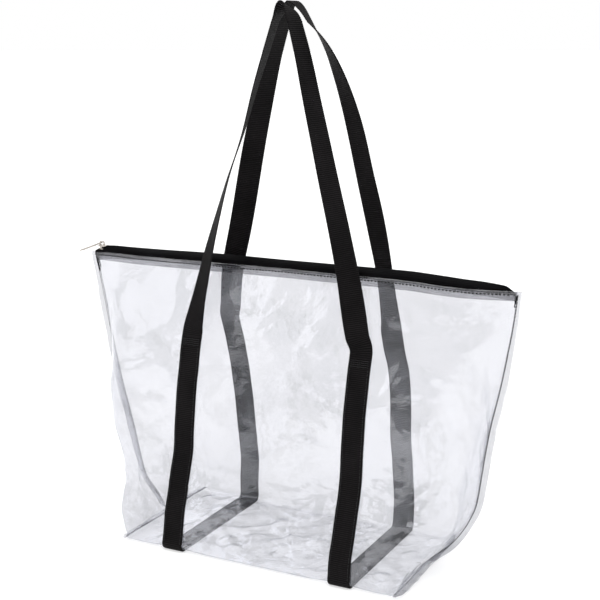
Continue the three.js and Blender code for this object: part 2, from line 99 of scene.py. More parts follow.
def monotone(table):
    """A smooth interpolation through a table that never overshoots it."""
    x, y = np.array(table, float).T
    h, d = np.diff(x), np.diff(y) / np.diff(x)
    m = np.zeros(len(x))
    m[0], m[-1] = d[0], d[-1]
    for i in range(1, len(x) - 1):
        if d[i - 1] * d[i] > 0:
            w1, w2 = 2 * h[i] + h[i - 1], h[i] + 2 * h[i - 1]
            m[i] = (w1 + w2) / (w1 / d[i - 1] + w2 / d[i])

    def f(q):
        q = np.clip(np.asarray(q, float), x[0], x[-1])
        i = np.clip(np.searchsorted(x, q, side="right") - 1, 0, len(x) - 2)
        t = (q - x[i]) / h[i]
        t2, t3 = t * t, t * t * t
        return (2 * t3 - 3 * t2 + 1) * y[i] + (t3 - 2 * t2 + t) * h[i] * m[i] + (3 * t2 - 2 * t3) * y[i + 1] + (t3 - t2) * h[i] * m[i + 1]

    return f


def natural(table):
    """A natural cubic spline through a table."""
    x, y = np.array(table, float).T
    n, h = len(x), np.diff(x)
    a = np.zeros((n, n))
    r = np.zeros(n)
    a[0, 0] = a[-1, -1] = 1
    for i in range(1, n - 1):
        a[i, i - 1], a[i, i], a[i, i + 1] = h[i - 1], 2 * (h[i - 1] + h[i]), h[i]
        r[i] = 6 * ((y[i + 1] - y[i]) / h[i] - (y[i] - y[i - 1]) / h[i - 1])
    m = np.linalg.solve(a, r)

    def f(q):
        q = np.clip(np.asarray(q, float), x[0], x[-1])
        i = np.clip(np.searchsorted(x, q, side="right") - 1, 0, n - 2)
        t, u = q - x[i], x[i + 1] - q
        return (m[i] * u**3 + m[i + 1] * t**3) / (6 * h[i]) + (y[i] / h[i] - m[i] * h[i] / 6) * u + (y[i + 1] / h[i] - m[i + 1] * h[i] / 6) * t

    return f


front_y, back_y = monotone(FRONT_Y), monotone(BACK_Y)
seam_right, seam_left = monotone(SEAM_RIGHT), monotone(SEAM_LEFT)
corner_x, corner_r, bottom_z = monotone(CORNER), monotone(ROUND), monotone(BOTTOM)


corner_more = monotone([[0, 0], [8, 0.5], [30, 8], [62, 9], [95, 13], [135, 16], [175, 18.5], [215, 17], [250, 9], [285, 2], [305, 0]])
mouth_lift, tape_drop = monotone(MOUTH_LIFT), monotone(TAPE_DROP)


def rise(x, z):
    """The mouth's middle stands a little higher than its ends."""
    return mouth_lift(x) * smooth(z, 233, 290)


def depth(side, z):
    return (front_y if side < 0 else back_y)(z)


def seam(end, z):
    return (seam_left if end < 0 else seam_right)(z)


class Waves:
    """A smooth field: a sum of plane waves with seeded directions and phases, about 1 high."""

    def __init__(self, seed, shortest, longest, count=14, lean=None):
        rng = np.random.default_rng(seed)
        lam = np.exp(rng.uniform(math.log(shortest), math.log(longest), count))
        ang = rng.uniform(0, math.pi, count) if lean is None else rng.normal(lean, 0.45, count)
        self.k = 2 * math.pi / lam
        self.cx, self.cy, self.ph = np.cos(ang), np.sin(ang), rng.uniform(0, 2 * math.pi, count)
        self.a = lam / lam.mean()
        self.a /= math.sqrt((self.a**2).sum() / 2)

    def __call__(self, x, y):
        x, y = np.broadcast_arrays(np.asarray(x, float), np.asarray(y, float))
        out = np.zeros(x.shape)
        for k, cx, cy, ph, a in zip(self.k, self.cx, self.cy, self.ph, self.a):
            out += a * np.sin(k * (cx * x + cy * y) + ph)
        return out


LOW = {-1: Waves(11, 90, 190, 10), 1: Waves(23, 95, 200, 10)}
MID = {-1: Waves(31, 34, 80, 16), 1: Waves(47, 34, 85, 16)}
FINE = {-1: Waves(53, 9, 26, 24), 1: Waves(67, 9, 26, 24)}
FOLD_Z = {-1: 73.0, 1: 84.0}

# creases: (side, from s, from z, to s, to z, height, width); s runs along the wall from its middle
CREASES = [
    (-1, -70, 92, 40, 78, 0.9, 2.6), (-1, -20, 60, 62, 44, 0.8, 2.4), (-1, 10, 38, 78, 62, 0.7, 2.2), (-1, -62, 30, -8, 52, -0.8, 2.6),
    (-1, 128, 190, 176, 108, 0.7, 2.4), (-1, 150, 150, 205, 92, -0.6, 2.2), (-1, 140, 70, 200, 118, 0.7, 2.4), (-1, 120, 30, 170, 66, 0.8, 2.6),
    (-1, -190, 170, -140, 120, 0.6, 2.2), (-1, -170, 120, -128, 66, 0.7, 2.4), (-1, -200, 60, -150, 84, 0.8, 2.4), (-1, -150, 22, -124, 70, -0.8, 2.4),
    (-1, 40, 250, 78, 150, 0.55, 4.5), (-1, -40, 262, -66, 196, 0.5, 4.0), (-1, 196, 236, 214, 150, 0.5, 3.0), (-1, -214, 250, -196, 176, 0.5, 3.0),
    (1, -66, 66, 34, 96, 0.9, 2.8), (1, -30, 120, 60, 88, -0.7, 2.6), (1, 20, 34, 80, 58, 0.8, 2.6), (1, -82, 36, -40, 60, 0.8, 2.4),
    (1, 130, 96, 190, 74, 0.8, 2.6), (1, 126, 62, 176, 34, -0.7, 2.4), (1, -190, 96, -132, 70, 0.8, 2.6), (1, -140, 190, -180, 110, 0.6, 2.6),
    (1, 140, 210, 190, 130, 0.6, 2.6), (1, -30, 240, 30, 150, 0.45, 5.0),
]


def relief(side, s, z, seam_gap=200.0):
    """How far the sheet stands out of its plain shape, along its outward normal."""
    s, z, gap = np.broadcast_arrays(np.asarray(s, float), np.asarray(z, float), np.asarray(seam_gap, float))
    sign = np.sign(s)
    q = np.abs(s) - STRAP_X
    free = smooth(np.abs(q), 13.2, 30)
    se = sign * STRAP_X + (s - sign * STRAP_X) * free  # the sheet lies flat under the webbing
    top = 1 - smooth(z, 262, 294)
    low = 1.5 * LOW[side](se, z) * smooth(z, 4, 60) * top
    mid = 0.55 * MID[side](se, z) * smooth(z, 4, 26) * (1 - smooth(z, 276, 295))
    near_bottom = 1 - smooth(z, 70, 130)
    fine = (0.05 + 0.2 * near_bottom) * FINE[side](se, z) * smooth(z, 6, 16) * (1 - smooth(z, 280, 295)) * free
    zf = FOLD_Z[side] + 2.2 * np.sin(se / 37.0 + side) + 1.2 * np.sin(se / 13.0)
    fold = 1.35 * np.exp(-np.abs(z - zf) / 4.2) * (0.65 + 0.35 * np.sin(se / 61.0 + 2 * side))
    out = low + mid + fine + fold
    for sd, s0, z0, s1, z1, h, w in CREASES:
        if sd != side:
            continue
        dx, dz = s1 - s0, z1 - z0
        length = math.hypot(dx, dz)
        t = ((s - s0) * dx + (z - z0) * dz) / length**2
        bow = 0.05 * length * np.sin(np.clip(t, 0, 1) * math.pi)
        d = np.abs(((z - z0) * dx - (s - s0) * dz) / length - bow)
        out = out + h * np.exp(-d / w) * smooth(t, -0.05, 0.25) * (1 - smooth(t, 0.75, 1.05)) * free
    under = (1 - free) * smooth(z, 190, 222)
    return out * smooth(gap, 0, 22) * (1 - under) * smooth(z, 3, 12)


def section(side, end, z, count):
    """Plan section of a wall beside the webbing at height z: points out to the side seam, and their plan normals."""
    d, x_end, y_end = float(depth(side, z)), float(seam(end, z)), 0.8
    more = float(corner_more(z)) if side < 0 and end < 0 else 0.0  # the front left corner is squarer
    c, r = min(float(corner_x(z)) + more, x_end - 0.5), float(corner_r(z)) * (1 - 0.02 * more)
    to = np.array([x_end - c, -(d - y_end)])
    length = np.hypot(*to)
    k = min(r, 0.6 * length) / length
    a, p = np.array([c - r, d]), np.array([c, d])
    b = p + to * k
    t = np.linspace(0, 1, 40)[:, None]
    line = np.vstack([[STRAP_X, d], a + (np.array([STRAP_X, d]) - a) * np.linspace(0.98, 0.02, 30)[:, None], (1 - t) ** 2 * a + 2 * t * (1 - t) * p + t * t * b])
    e = np.array([x_end, y_end])
    t = np.linspace(0, 1, 40)[1:, None]
    bow = np.array([-(e - b)[1], (e - b)[0]]) / max(np.hypot(*(e - b)), 1e-6)
    belly = 0.018 * length * smooth(z, 30, 120) * (1 - smooth(z, 250, 300))
    line = np.vstack([line, b + (e - b) * t + bow * belly * np.sin(t * math.pi)])
    arc = np.concatenate([[0], np.cumsum(np.hypot(*np.diff(line, axis=0).T))])
    s = np.linspace(0, arc[-1], count)
    pts = np.column_stack([np.interp(s, arc, line[:, 0]), np.interp(s, arc, line[:, 1])])
    g = np.gradient(pts, axis=0)
    n = unit(np.column_stack([-g[:, 1], g[:, 0]]))
    return pts, n, s, arc[-1]


# ------------------------------------------------------------------ mesh making
def new_mesh(name, verts, face_sets, material, uv=None, sharp=None):
    """One object from vertices in mm and arrays of faces, each array with its own corner count."""
    me = bpy.data.meshes.new(name)
    verts = np.asarray(verts, float).reshape(-1, 3)
    face_sets = [np.asarray(f, np.int32) for f in face_sets if len(f)]
    loops = np.concatenate([f.ravel() for f in face_sets])
    totals = np.concatenate([np.full(len(f), f.shape[1], np.int32) for f in face_sets])
    starts = np.concatenate([[0], np.cumsum(totals)[:-1]]).astype(np.int32)
    me.vertices.add(len(verts))
    me.vertices.foreach_set("co", (verts * MM).astype(np.float32).ravel())
    me.loops.add(len(loops))
    me.loops.foreach_set("vertex_index", loops)
    me.polygons.add(len(totals))
    me.polygons.foreach_set("loop_start", starts)
    me.polygons.foreach_set("loop_total", totals)
    if uv is not None:
        layer = me.uv_layers.new(name="UVMap")
        layer.data.foreach_set("uv", np.asarray(uv, np.float32)[loops].ravel())
    me.update(calc_edges=True)
    me.validate()
    me.polygons.foreach_set("use_smooth", np.ones(len(me.polygons), bool))
    if material is not None:
        me.materials.append(material)
    ob = bpy.data.objects.new(name, me)
    bpy.context.scene.collection.objects.link(ob)
    if sharp:
        me.set_sharp_from_angle(angle=math.radians(sharp))
    return ob


def face_out(ob):
    """Turns a closed mesh's faces outwards where its volume says that they point in."""
    me = ob.data
    me.calc_loop_triangles()
    v = np.empty(len(me.vertices) * 3, np.float32)
    me.vertices.foreach_get("co", v)
    v = v.reshape(-1, 3).astype(float)
    t = np.empty(len(me.loop_triangles) * 3, np.int32)
    me.loop_triangles.foreach_get("vertices", t)
    a, b, c = (v[t.reshape(-1, 3)[:, i]] for i in range(3))
    if np.einsum("ij,ij->i", a, np.cross(b, c)).sum() < 0:
        me.flip_normals()
    return ob


def grid_faces(m, n, base=0):
    i, j = np.meshgrid(np.arange(m - 1), np.arange(n - 1), indexing="ij")
    a = base + i * n + j
    return np.stack([a, a + 1, a + n + 1, a + n], -1).reshape(-1, 4)


def shell(name, outer, inner, material, uv=None):
    """A closed sheet from two grids of points."""
    m, n = outer.shape[:2]
    k = m * n
    faces = [grid_faces(m, n), grid_faces(m, n, k)[:, ::-1]]
    rim = []
    j = np.arange(n - 1)
    i = np.arange(m - 1)
    rim.append(np.stack([j + 1, j, j + k, j + 1 + k], -1))
    top = (m - 1) * n + j
    rim.append(np.stack([top, top + 1, top + 1 + k, top + k], -1))
    left = i * n
    rim.append(np.stack([left, left + n, left + n + k, left + k], -1))
    right = i * n + n - 1
    rim.append(np.stack([right + n, right, right + k, right + n + k], -1))
    verts = np.vstack([outer.reshape(-1, 3), inner.reshape(-1, 3)])
    uvs = None if uv is None else np.vstack([uv.reshape(-1, 2)] * 2)
    return face_out(new_mesh(name, verts, [np.vstack(faces + rim)], material, uvs, sharp=50))


def normals_of(grid):
    du, dv = np.gradient(grid, axis=0), np.gradient(grid, axis=1)
    return unit(np.cross(du, dv))


def tube(rings, closed_ends=True, base=0):
    """Faces of a tube through equal rings; rings is (k, r, 3)."""
    k, r = rings.shape[:2]
    i, j = np.meshgrid(np.arange(k - 1), np.arange(r), indexing="ij")
    a, b = base + i * r + j, base + i * r + (j + 1) % r
    quads = np.stack([a, b, b + r, a + r], -1).reshape(-1, 4)
    caps = np.array([base + np.arange(r)[::-1], base + (k - 1) * r + np.arange(r)]) if closed_ends else np.zeros((0, r), int)
    return quads, caps


def arc_of(p):
    return np.concatenate([[0], np.cumsum(np.linalg.norm(np.diff(p, axis=0), axis=1))])


def sample(p, arc, s):
    return np.column_stack([np.interp(s, arc, p[:, i]) for i in range(p.shape[1])])


def stitch_rows(rows, pitch=3.8, length=3.05, r=0.27, seed=1, sink=0.28, sides=6):
    """Thread stitches along surface lines: each row is (points, normals). Returns vertices and faces."""
    rng = np.random.default_rng(seed)
    verts, quads, caps, base = [], [], [], 0
    us = np.array([-1, -0.82, -0.4, 0.4, 0.82, 1.0])
    rise = np.array([-1.0, 0.25, 1.0, 1.0, 0.25, -1.0])
    fat = np.array([0.55, 0.9, 1.0, 1.0, 0.9, 0.55])
    ang = np.linspace(0, 2 * math.pi, sides, endpoint=False)
    for p, n in rows:
        p, n = np.asarray(p, float), np.asarray(n, float)
        arc = arc_of(p)
        count = int(arc[-1] // pitch)
        if count < 1:
            continue
        first = (arc[-1] - count * pitch) / 2 + pitch / 2
        for c in first + pitch * np.arange(count):
            half = length / 2 * rng.uniform(0.93, 1.05)
            mid = c + rng.normal(0, 0.06)
            s = np.clip(mid + us * half, 0, arc[-1])
            q, m = sample(p, arc, s), unit(sample(n, arc, s))
            t = unit(np.gradient(q, axis=0))
            b = unit(np.cross(t, m))
            slant = rng.normal(0.05, 0.03)
            q = q + b * (us * slant)[:, None] + m * (rise * sink)[:, None]
            ring = q[:, None, :] + r * fat[:, None, None] * (np.cos(ang)[None, :, None] * b[:, None, :] + 0.85 * np.sin(ang)[None, :, None] * m[:, None, :])
            f, cp = tube(ring, base=base)
            verts.append(ring.reshape(-1, 3))
            quads.append(f)
            caps.append(cp)
            base += ring.shape[0] * sides
    return np.vstack(verts), [np.vstack(quads), np.vstack(caps)]


def stitches(name, rows, material, **kw):
    v, f = stitch_rows(rows, **kw)
    return new_mesh(name, v, f, material)


def webbing(name, path, normal, material, pitch=RIB, steps=6, start=0.0):
    """Ribbed webbing along a path, with bumps at every rib and a scalloped selvedge."""
    arc = arc_of(path)
    count = max(int(arc[-1] / (pitch / steps)), 8)
    s = np.linspace(0, arc[-1], count + 1)
    p, n = sample(path, arc, s), sample(normal, arc, s)
    t = unit(np.gradient(p, axis=0))
    n = unit(n - t * np.einsum("ij,ij->i", n, t)[:, None])
    w = np.cross(t, n)
    u = np.array([-1, -0.965, -0.89, -0.7, -0.45, -0.15, 0.15, 0.45, 0.7, 0.89, 0.965, 1])
    ph = 2 * math.pi * (s + start) / pitch
    rib = 0.5 + 0.5 * np.cos(ph)
    body = np.array([0.12, 0.34, 0.46, 0.42, 0.42, 0.42, 0.42, 0.42, 0.42, 0.46, 0.34, 0.12]) * WEB_T / 1.4
    lift = np.array([0.02, 0.14, 0.26, 0.3, 0.3, 0.3, 0.3, 0.3, 0.3, 0.26, 0.14, 0.02])
    shift = np.array([0, 0, 0.4, -0.3, 0.25, -0.25, 0.3, -0.2, 0.25, -0.4, 0, 0])
    bumps = 0.5 + 0.5 * np.cos(ph[:, None] + shift[None, :])
    half = WEB_W / 2 - 0.42 + 0.4 * rib
    thick = body[None, :] + lift[None, :] * bumps
    across = half[:, None] * u[None, :]
    upper = p[:, None, :] + w[:, None, :] * across[..., None] + n[:, None, :] * thick[..., None]
    lower = p[:, None, :] + w[:, None, :] * across[..., None] - n[:, None, :] * thick[..., None]
    ring = np.concatenate([upper, lower[:, ::-1]], axis=1)
    quads, caps = tube(ring)
    uv_u = np.concatenate([across, across[:, ::-1] + 40], axis=1)
    uv = np.stack([uv_u, np.repeat((s + start)[:, None], ring.shape[1], 1)], -1)
    return face_out(new_mesh(name, ring.reshape(-1, 3), [quads, caps], material, uv.reshape(-1, 2)))


# ------------------------------------------------------------------ materials
def nodes_of(name):
    m = bpy.data.materials.new(name)
    m.use_nodes = True
    nt = m.node_tree
    nt.nodes.clear()
    out = nt.nodes.new("ShaderNodeOutputMaterial")
    return m, nt, out


class Tree:
    def __init__(self, nt):
        self.nt = nt

    def node(self, kind, **values):
        n = self.nt.nodes.new(kind)
        for k, v in values.items():
            setattr(n, k, v)
        return n

    def link(self, a, b):
        self.nt.links.new(a, b)

    def math(self, op, a, b=None, c=None, clamp=False):
        n = self.node("ShaderNodeMath", operation=op, use_clamp=clamp)
        for i, v in enumerate((a, b, c)):
            if v is None:
                continue
            if isinstance(v, (int, float)):
                n.inputs[i].default_value = v
            else:
                self.link(v, n.inputs[i])
        return n.outputs[0]

    def noise(self, vector, scale, detail=2.0, rough=0.5, distortion=0.0):
        n = self.node("ShaderNodeTexNoise")
        n.inputs["Scale"].default_value = scale
        n.inputs["Detail"].default_value = detail
        n.inputs["Roughness"].default_value = rough
        n.inputs["Distortion"].default_value = distortion
        if vector is not None:
            self.link(vector, n.inputs["Vector"])
        return n.outputs["Fac"]

    def ramp(self, value, stops):
        n = self.node("ShaderNodeValToRGB")
        while len(n.color_ramp.elements) < len(stops):
            n.color_ramp.elements.new(0.5)
        for e, (pos, col) in zip(n.color_ramp.elements, stops):
            e.position = pos
            e.color = (*col, 1) if isinstance(col, tuple) else (col, col, col, 1)
        self.link(value, n.inputs[0])
        return n.outputs[0]

    def remap(self, value, a, b, c, d):
        n = self.node("ShaderNodeMapRange")
        for i, v in enumerate((a, b, c, d)):
            n.inputs[1 + i].default_value = v
        self.link(value, n.inputs[0])
        return n.outputs[0]

    def bump(self, height, strength, distance):
        n = self.node("ShaderNodeBump")
        n.inputs["Strength"].default_value = strength
        n.inputs["Distance"].default_value = distance
        self.link(height, n.inputs["Height"])
        return n.outputs[0]


def clear_sheet(name, tint, haze, wave=0.5, rough=0.055, specks=False, haze_colour=(0.86, 0.87, 0.91), veil=0.0):
    """Clear flexible PVC: see-through, mirroring more at a grazing angle, with a faint uneven haze."""
    m, nt, out = nodes_of(name)
    t = Tree(nt)
    co = t.node("ShaderNodeTexCoord").outputs["Object"]
    large, small = t.noise(co, 13.0, 2.0, 0.45, 0.6), t.noise(co, 95.0, 2.0, 0.5)
    peel = t.noise(co, 420.0, 2.0, 0.5)
    height = t.math("ADD", t.math("MULTIPLY", large, 1.0), t.math("ADD", t.math("MULTIPLY", small, 0.10), t.math("MULTIPLY", peel, 0.008)))
    # crumples with crisp edges towards the foot, where the sheet is folded
    sep = t.node("ShaderNodeSeparateXYZ")
    t.link(co, sep.inputs[0])
    foot = t.remap(sep.outputs[2], 0.06, 0.17, 1.0, 0.12)
    crumple = t.math("ABSOLUTE", t.math("SUBTRACT", t.noise(co, 26.0, 1.0, 0.4, 0.7), 0.5))
    height = t.math("SUBTRACT", height, t.math("MULTIPLY", t.math("MULTIPLY", crumple, foot), 0.5))
    normal = t.bump(height, wave, 0.012)
    facing = t.node("ShaderNodeLayerWeight")
    facing.inputs["Blend"].default_value = 0.5
    t.link(normal, facing.inputs["Normal"])
    f = facing.outputs["Facing"]
    f2 = t.math("MULTIPLY", f, f)
    f5 = t.math("MULTIPLY", t.math("MULTIPLY", f2, f2), f)
    mirror = t.math("MULTIPLY_ADD", f5, 0.95, 0.045)
    cloud = t.remap(t.noise(co, 38.0, 3.0, 0.6, 0.4), 0.35, 0.7, haze[0], haze[1])
    if specks:
        spots = t.ramp(t.noise(co, 210.0, 3.0, 0.6), [(0.66, 0.0), (0.72, 1.0)])
        cloud = t.math("ADD", cloud, t.math("MULTIPLY", spots, 0.35))
    if veil:
        shape = t.ramp(t.noise(co, 6.5, 1.0, 0.4, 0.9), [(0.40, 0.0), (0.47, 0.75), (0.53, 0.6), (0.60, 1.0)])
        cloud = t.math("ADD", cloud, t.math("MULTIPLY", shape, veil))
    mix = t.math("ADD", mirror, cloud, clamp=True)
    see = t.node("ShaderNodeBsdfTransparent")
    see.inputs["Color"].default_value = (*tint, 1)
    film = t.node("ShaderNodeBsdfPrincipled")
    shade = t.ramp(t.noise(co, 60.0, 3.0, 0.55), [(0.3, tuple(c * 0.93 for c in haze_colour)), (0.7, haze_colour)])
    t.link(shade, film.inputs["Base Color"])
    film.inputs["Metallic"].default_value = 0.9
    t.link(t.remap(small, 0.3, 0.75, rough * 0.7, rough * 1.5), film.inputs["Roughness"])
    film.inputs["IOR"].default_value = 1.53
    t.link(normal, film.inputs["Normal"])
    mixer = t.node("ShaderNodeMixShader")
    t.link(mix, mixer.inputs[0])
    t.link(see.outputs[0], mixer.inputs[1])
    t.link(film.outputs[0], mixer.inputs[2])
    t.link(mixer.outputs[0], out.inputs["Surface"])
    return m


def woven(name, colour, ribs, rough=(0.5, 0.72), sheen=0.02, yarn=1.1, depth_mm=0.09, gloss=0.05, rib_highlight=0.26):
    """Woven synthetic yarn: weft ribs and warp yarns from the UV map, which is in millimetres; its colour is painted
    lighter on the rib crests and darker in the troughs, a painted highlight and shade.
    """
    m, nt, out = nodes_of(name)
    t = Tree(nt)
    tc = t.node("ShaderNodeTexCoord")
    sep = t.node("ShaderNodeSeparateXYZ")
    t.link(tc.outputs["UV"], sep.inputs[0])
    u, v = sep.outputs[0], sep.outputs[1]
    warp = t.math("SINE", t.math("MULTIPLY", u, 2 * math.pi / yarn))
    weft = t.math("COSINE", t.math("MULTIPLY", v, 2 * math.pi / ribs))
    cell = t.math("MULTIPLY", warp, weft)
    fibre = t.noise(tc.outputs["Object"], 2600.0, 2.0, 0.6)
    fuzz = t.noise(tc.outputs["Object"], 900.0, 3.0, 0.7)
    broad = t.noise(tc.outputs["Object"], 26.0, 3.0, 0.55)
    height = t.math("ADD", t.math("MULTIPLY", cell, 0.5), t.math("ADD", t.math("MULTIPLY", fibre, 0.7), t.math("MULTIPLY", weft, 0.35)))
    normal = t.bump(height, 0.75, depth_mm * MM)
    level = t.math("ADD", t.math("MULTIPLY", cell, 0.10), t.math("ADD", t.math("MULTIPLY", fuzz, 0.5), t.math("MULTIPLY", broad, 0.5)))
    # painted highlight and shade: the weft term, and faintly the weave cell, lighten the colour where the bump raises
    # the yarn and darken it in the troughs
    level = t.math("ADD", level, t.math("MULTIPLY", weft, rib_highlight))
    col = t.ramp(level, [(0.2, tuple(c * 0.2 for c in colour)), (0.5, colour), (0.8, tuple(c * 3.2 for c in colour))])
    p = t.node("ShaderNodeBsdfPrincipled")
    t.link(col, p.inputs["Base Color"])
    t.link(t.remap(fuzz, 0.3, 0.7, rough[0], rough[1]), p.inputs["Roughness"])
    p.inputs["Sheen Weight"].default_value = sheen
    p.inputs["Sheen Roughness"].default_value = 0.45
    p.inputs["Specular IOR Level"].default_value = gloss
    t.link(normal, p.inputs["Normal"])
    t.link(p.outputs[0], out.inputs["Surface"])
    return m


def spun(name, colour, rough=0.55):
    m, nt, out = nodes_of(name)
    t = Tree(nt)
    co = t.node("ShaderNodeTexCoord").outputs["Object"]
    strand = t.noise(co, 1900.0, 2.0, 0.6, 1.2)
    col = t.ramp(strand, [(0.3, tuple(c * 0.5 for c in colour)), (0.7, tuple(c * 1.6 for c in colour))])
    p = t.node("ShaderNodeBsdfPrincipled")
    t.link(col, p.inputs["Base Color"])
    t.link(t.remap(strand, 0.3, 0.7, rough - 0.1, rough + 0.15), p.inputs["Roughness"])
    t.link(t.bump(strand, 0.7, 0.00012), p.inputs["Normal"])
    t.link(p.outputs[0], out.inputs["Surface"])
    return m


def plated(name):
    m, nt, out = nodes_of(name)
    t = Tree(nt)
    co = t.node("ShaderNodeTexCoord").outputs["Object"]
    cloud, grain = t.noise(co, 190.0, 3.0, 0.6), t.noise(co, 2300.0, 2.0, 0.6)
    col = t.ramp(cloud, [(0.3, (0.36, 0.33, 0.30)), (0.7, (0.54, 0.50, 0.46))])
    p = t.node("ShaderNodeBsdfPrincipled")
    t.link(col, p.inputs["Base Color"])
    p.inputs["Metallic"].default_value = 1.0
    t.link(t.remap(cloud, 0.3, 0.7, 0.2, 0.36), p.inputs["Roughness"])
    t.link(t.bump(grain, 0.25, 0.00008), p.inputs["Normal"])
    t.link(p.outputs[0], out.inputs["Surface"])
    return m


def filament(name):
    m, nt, out = nodes_of(name)
    t = Tree(nt)
    co = t.node("ShaderNodeTexCoord").outputs["Object"]
    grain = t.noise(co, 700.0, 2.0, 0.6)
    p = t.node("ShaderNodeBsdfPrincipled")
    t.link(t.ramp(grain, [(0.3, (0.004, 0.004, 0.005)), (0.7, (0.012, 0.012, 0.014))]), p.inputs["Base Color"])
    t.link(t.remap(grain, 0.3, 0.7, 0.28, 0.42), p.inputs["Roughness"])
    t.link(t.bump(grain, 0.3, 0.0001), p.inputs["Normal"])
    t.link(p.outputs[0], out.inputs["Surface"])
    return m


PVC = clear_sheet("clear_pvc_sheet", (0.909, 0.910, 0.920), (0.0, 0.012), wave=0.6, veil=0.06)
PVC_LOW = clear_sheet("clear_pvc_creased", (0.975, 0.976, 0.983), (0.0, 0.012), wave=0.6)
PVC_EDGE = clear_sheet("clear_pvc_edge", (0.886, 0.887, 0.895), (0.0, 0.01), wave=0.4, rough=0.1, haze_colour=(0.6, 0.6, 0.63))
PVC_HEM = clear_sheet("clear_pvc_hem", (0.73, 0.73, 0.74), (0.02, 0.08), wave=0.45, rough=0.14, haze_colour=(0.6, 0.6, 0.62))
# the hem's fold copy: lighter tint and lighter film colour than the hem below, a painted highlight on the fold's
# rounded top edge
PVC_FOLD_HIGHLIGHT = clear_sheet("clear_pvc_hem_fold_highlight", (0.86, 0.86, 0.87), (0.02, 0.10), wave=0.45, rough=0.14, haze_colour=(0.8, 0.8, 0.82))
WEB = woven("black_webbing", (0.0048, 0.0042, 0.0045), RIB)
TAPE = woven("black_zip_tape", (0.0030, 0.0030, 0.0034), 0.9, rough=(0.6, 0.8), yarn=0.7, depth_mm=0.04, sheen=0.0, gloss=0.03, rib_highlight=0.05)
THREAD = spun("black_thread", (0.007, 0.007, 0.008))
COIL = filament("black_coil")
METAL = plated("plated_metal")

# ------------------------------------------------------------------ walls
BENDS = 5  # rows round the bend from wall to bottom


def wall_rows(side):
    z = [8.0, 11.5, 15.0]
    while z[-1] < 64:
        z.append(z[-1] + 3.0)
    while z[-1] < 94:
        z.append(z[-1] + 1.6)
    while z[-1] < HEM_Z - 3:
        z.append(z[-1] + 3.4)
    return np.array(z[:-1] + [HEM_Z - 1.5, HEM_Z + 1.5, TOP_Z - 2, TOP_Z])


def finish_wall(plan, plan_n, out, z_rows, x_abs):
    """Adds the bend at the foot to wall rows. plan and plan_n are (rows, cols, 2) in x, |y|; out is the relief."""
    rows, cols = plan.shape[:2]
    body = np.concatenate([plan + plan_n * out[..., None], np.repeat(z_rows[:, None, None], cols, 1)], axis=2)
    foot = body[0].copy()
    keep = 1 - smooth(np.abs(x_abs), 149, 158.5)  # no bend at the end wall, which ends at its own seam
    zb = bottom_z(np.minimum(np.abs(x_abs), 160))
    bends = []
    for i in range(BENDS, 0, -1):
        a = math.pi / 2 * i / BENDS
        inward = (foot[:, 2] - zb) * 0.9 * (1 - math.cos(a)) * keep
        rise = zb + (foot[:, 2] - zb) * (1 - math.sin(a)) * keep + (foot[:, 2] - zb) * (1 - i / BENDS) * (1 - keep)
        p = foot.copy()
        p[:, 0] -= plan_n[0, :, 0] * inward
        p[:, 1] -= plan_n[0, :, 1] * inward + 0.0
        p[:, 2] = rise
        bends.append(p)
    return np.concatenate([np.array(bends), body], axis=0)


def wall(name, side, end, material, columns):
    z = wall_rows(side)
    if end == 0:
        xs = np.linspace(-STRAP_X, STRAP_X, columns)
        plan = np.stack([np.repeat(xs[None], len(z), 0), np.repeat(depth(side, z)[:, None], columns, 1)], -1)
        pn = np.zeros_like(plan)
        pn[..., 1] = 1
        s = np.repeat(xs[None], len(z), 0)
        gap = np.full(s.shape, 200.0)
        sx = 1
    else:
        got = [section(side, end, float(q), columns) for q in z]
        plan = np.array([g[0] for g in got])
        pn = np.array([g[1] for g in got])
        arc = np.array([g[2] for g in got])
        total = np.array([g[3] for g in got])[:, None]
        s = end * (STRAP_X + arc)
        gap = total - arc
        sx = end
    out = relief(side, s, z[:, None], gap)
    g = finish_wall(plan, pn, out, z, plan[0, :, 0])
    g[..., 0] *= sx
    g[..., 1] *= side
    g[..., 2] += rise(g[..., 0], g[..., 2])
    n = normals_of(g)
    mid = g[len(g) // 2, columns // 2]
    if (n[len(g) // 2, columns // 2] * np.array([0, mid[1], 0])).sum() < 0:
        n = -n
    if end != 0:
        n[:, -1] = n[:, -2]
    uv = np.stack([np.vstack([s[:1]] * BENDS + [s]), g[..., 2]], -1)
    return shell(name, g, g - n * SHEET, material, uv)


pieces = {}


def keep_piece(ob, nodes=()):
    if nodes:
        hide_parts(*nodes)
    pieces[ob.name] = ob
    return ob


WORD = {-1: "front", 1: "back"}
SIDE = {-1: "left", 1: "right"}


def to_mouth(ob):
    """Bakes the object's transform into its mesh."""
    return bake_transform(ob)


for side in (-1, 1):
    w = WORD[side]
    c = wall(f"clear_{w}_center", side, 0, PVC, 84)
    keep_piece(c, [w + "_panel_center"])
    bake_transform(c)
    for end in (-1, 1):
        p = wall(f"clear_{w}_{SIDE[end]}", side, end, PVC, 72)
        keep_piece(p, [f"{w}_panel_{SIDE[end]}"])
        to_mouth(p)

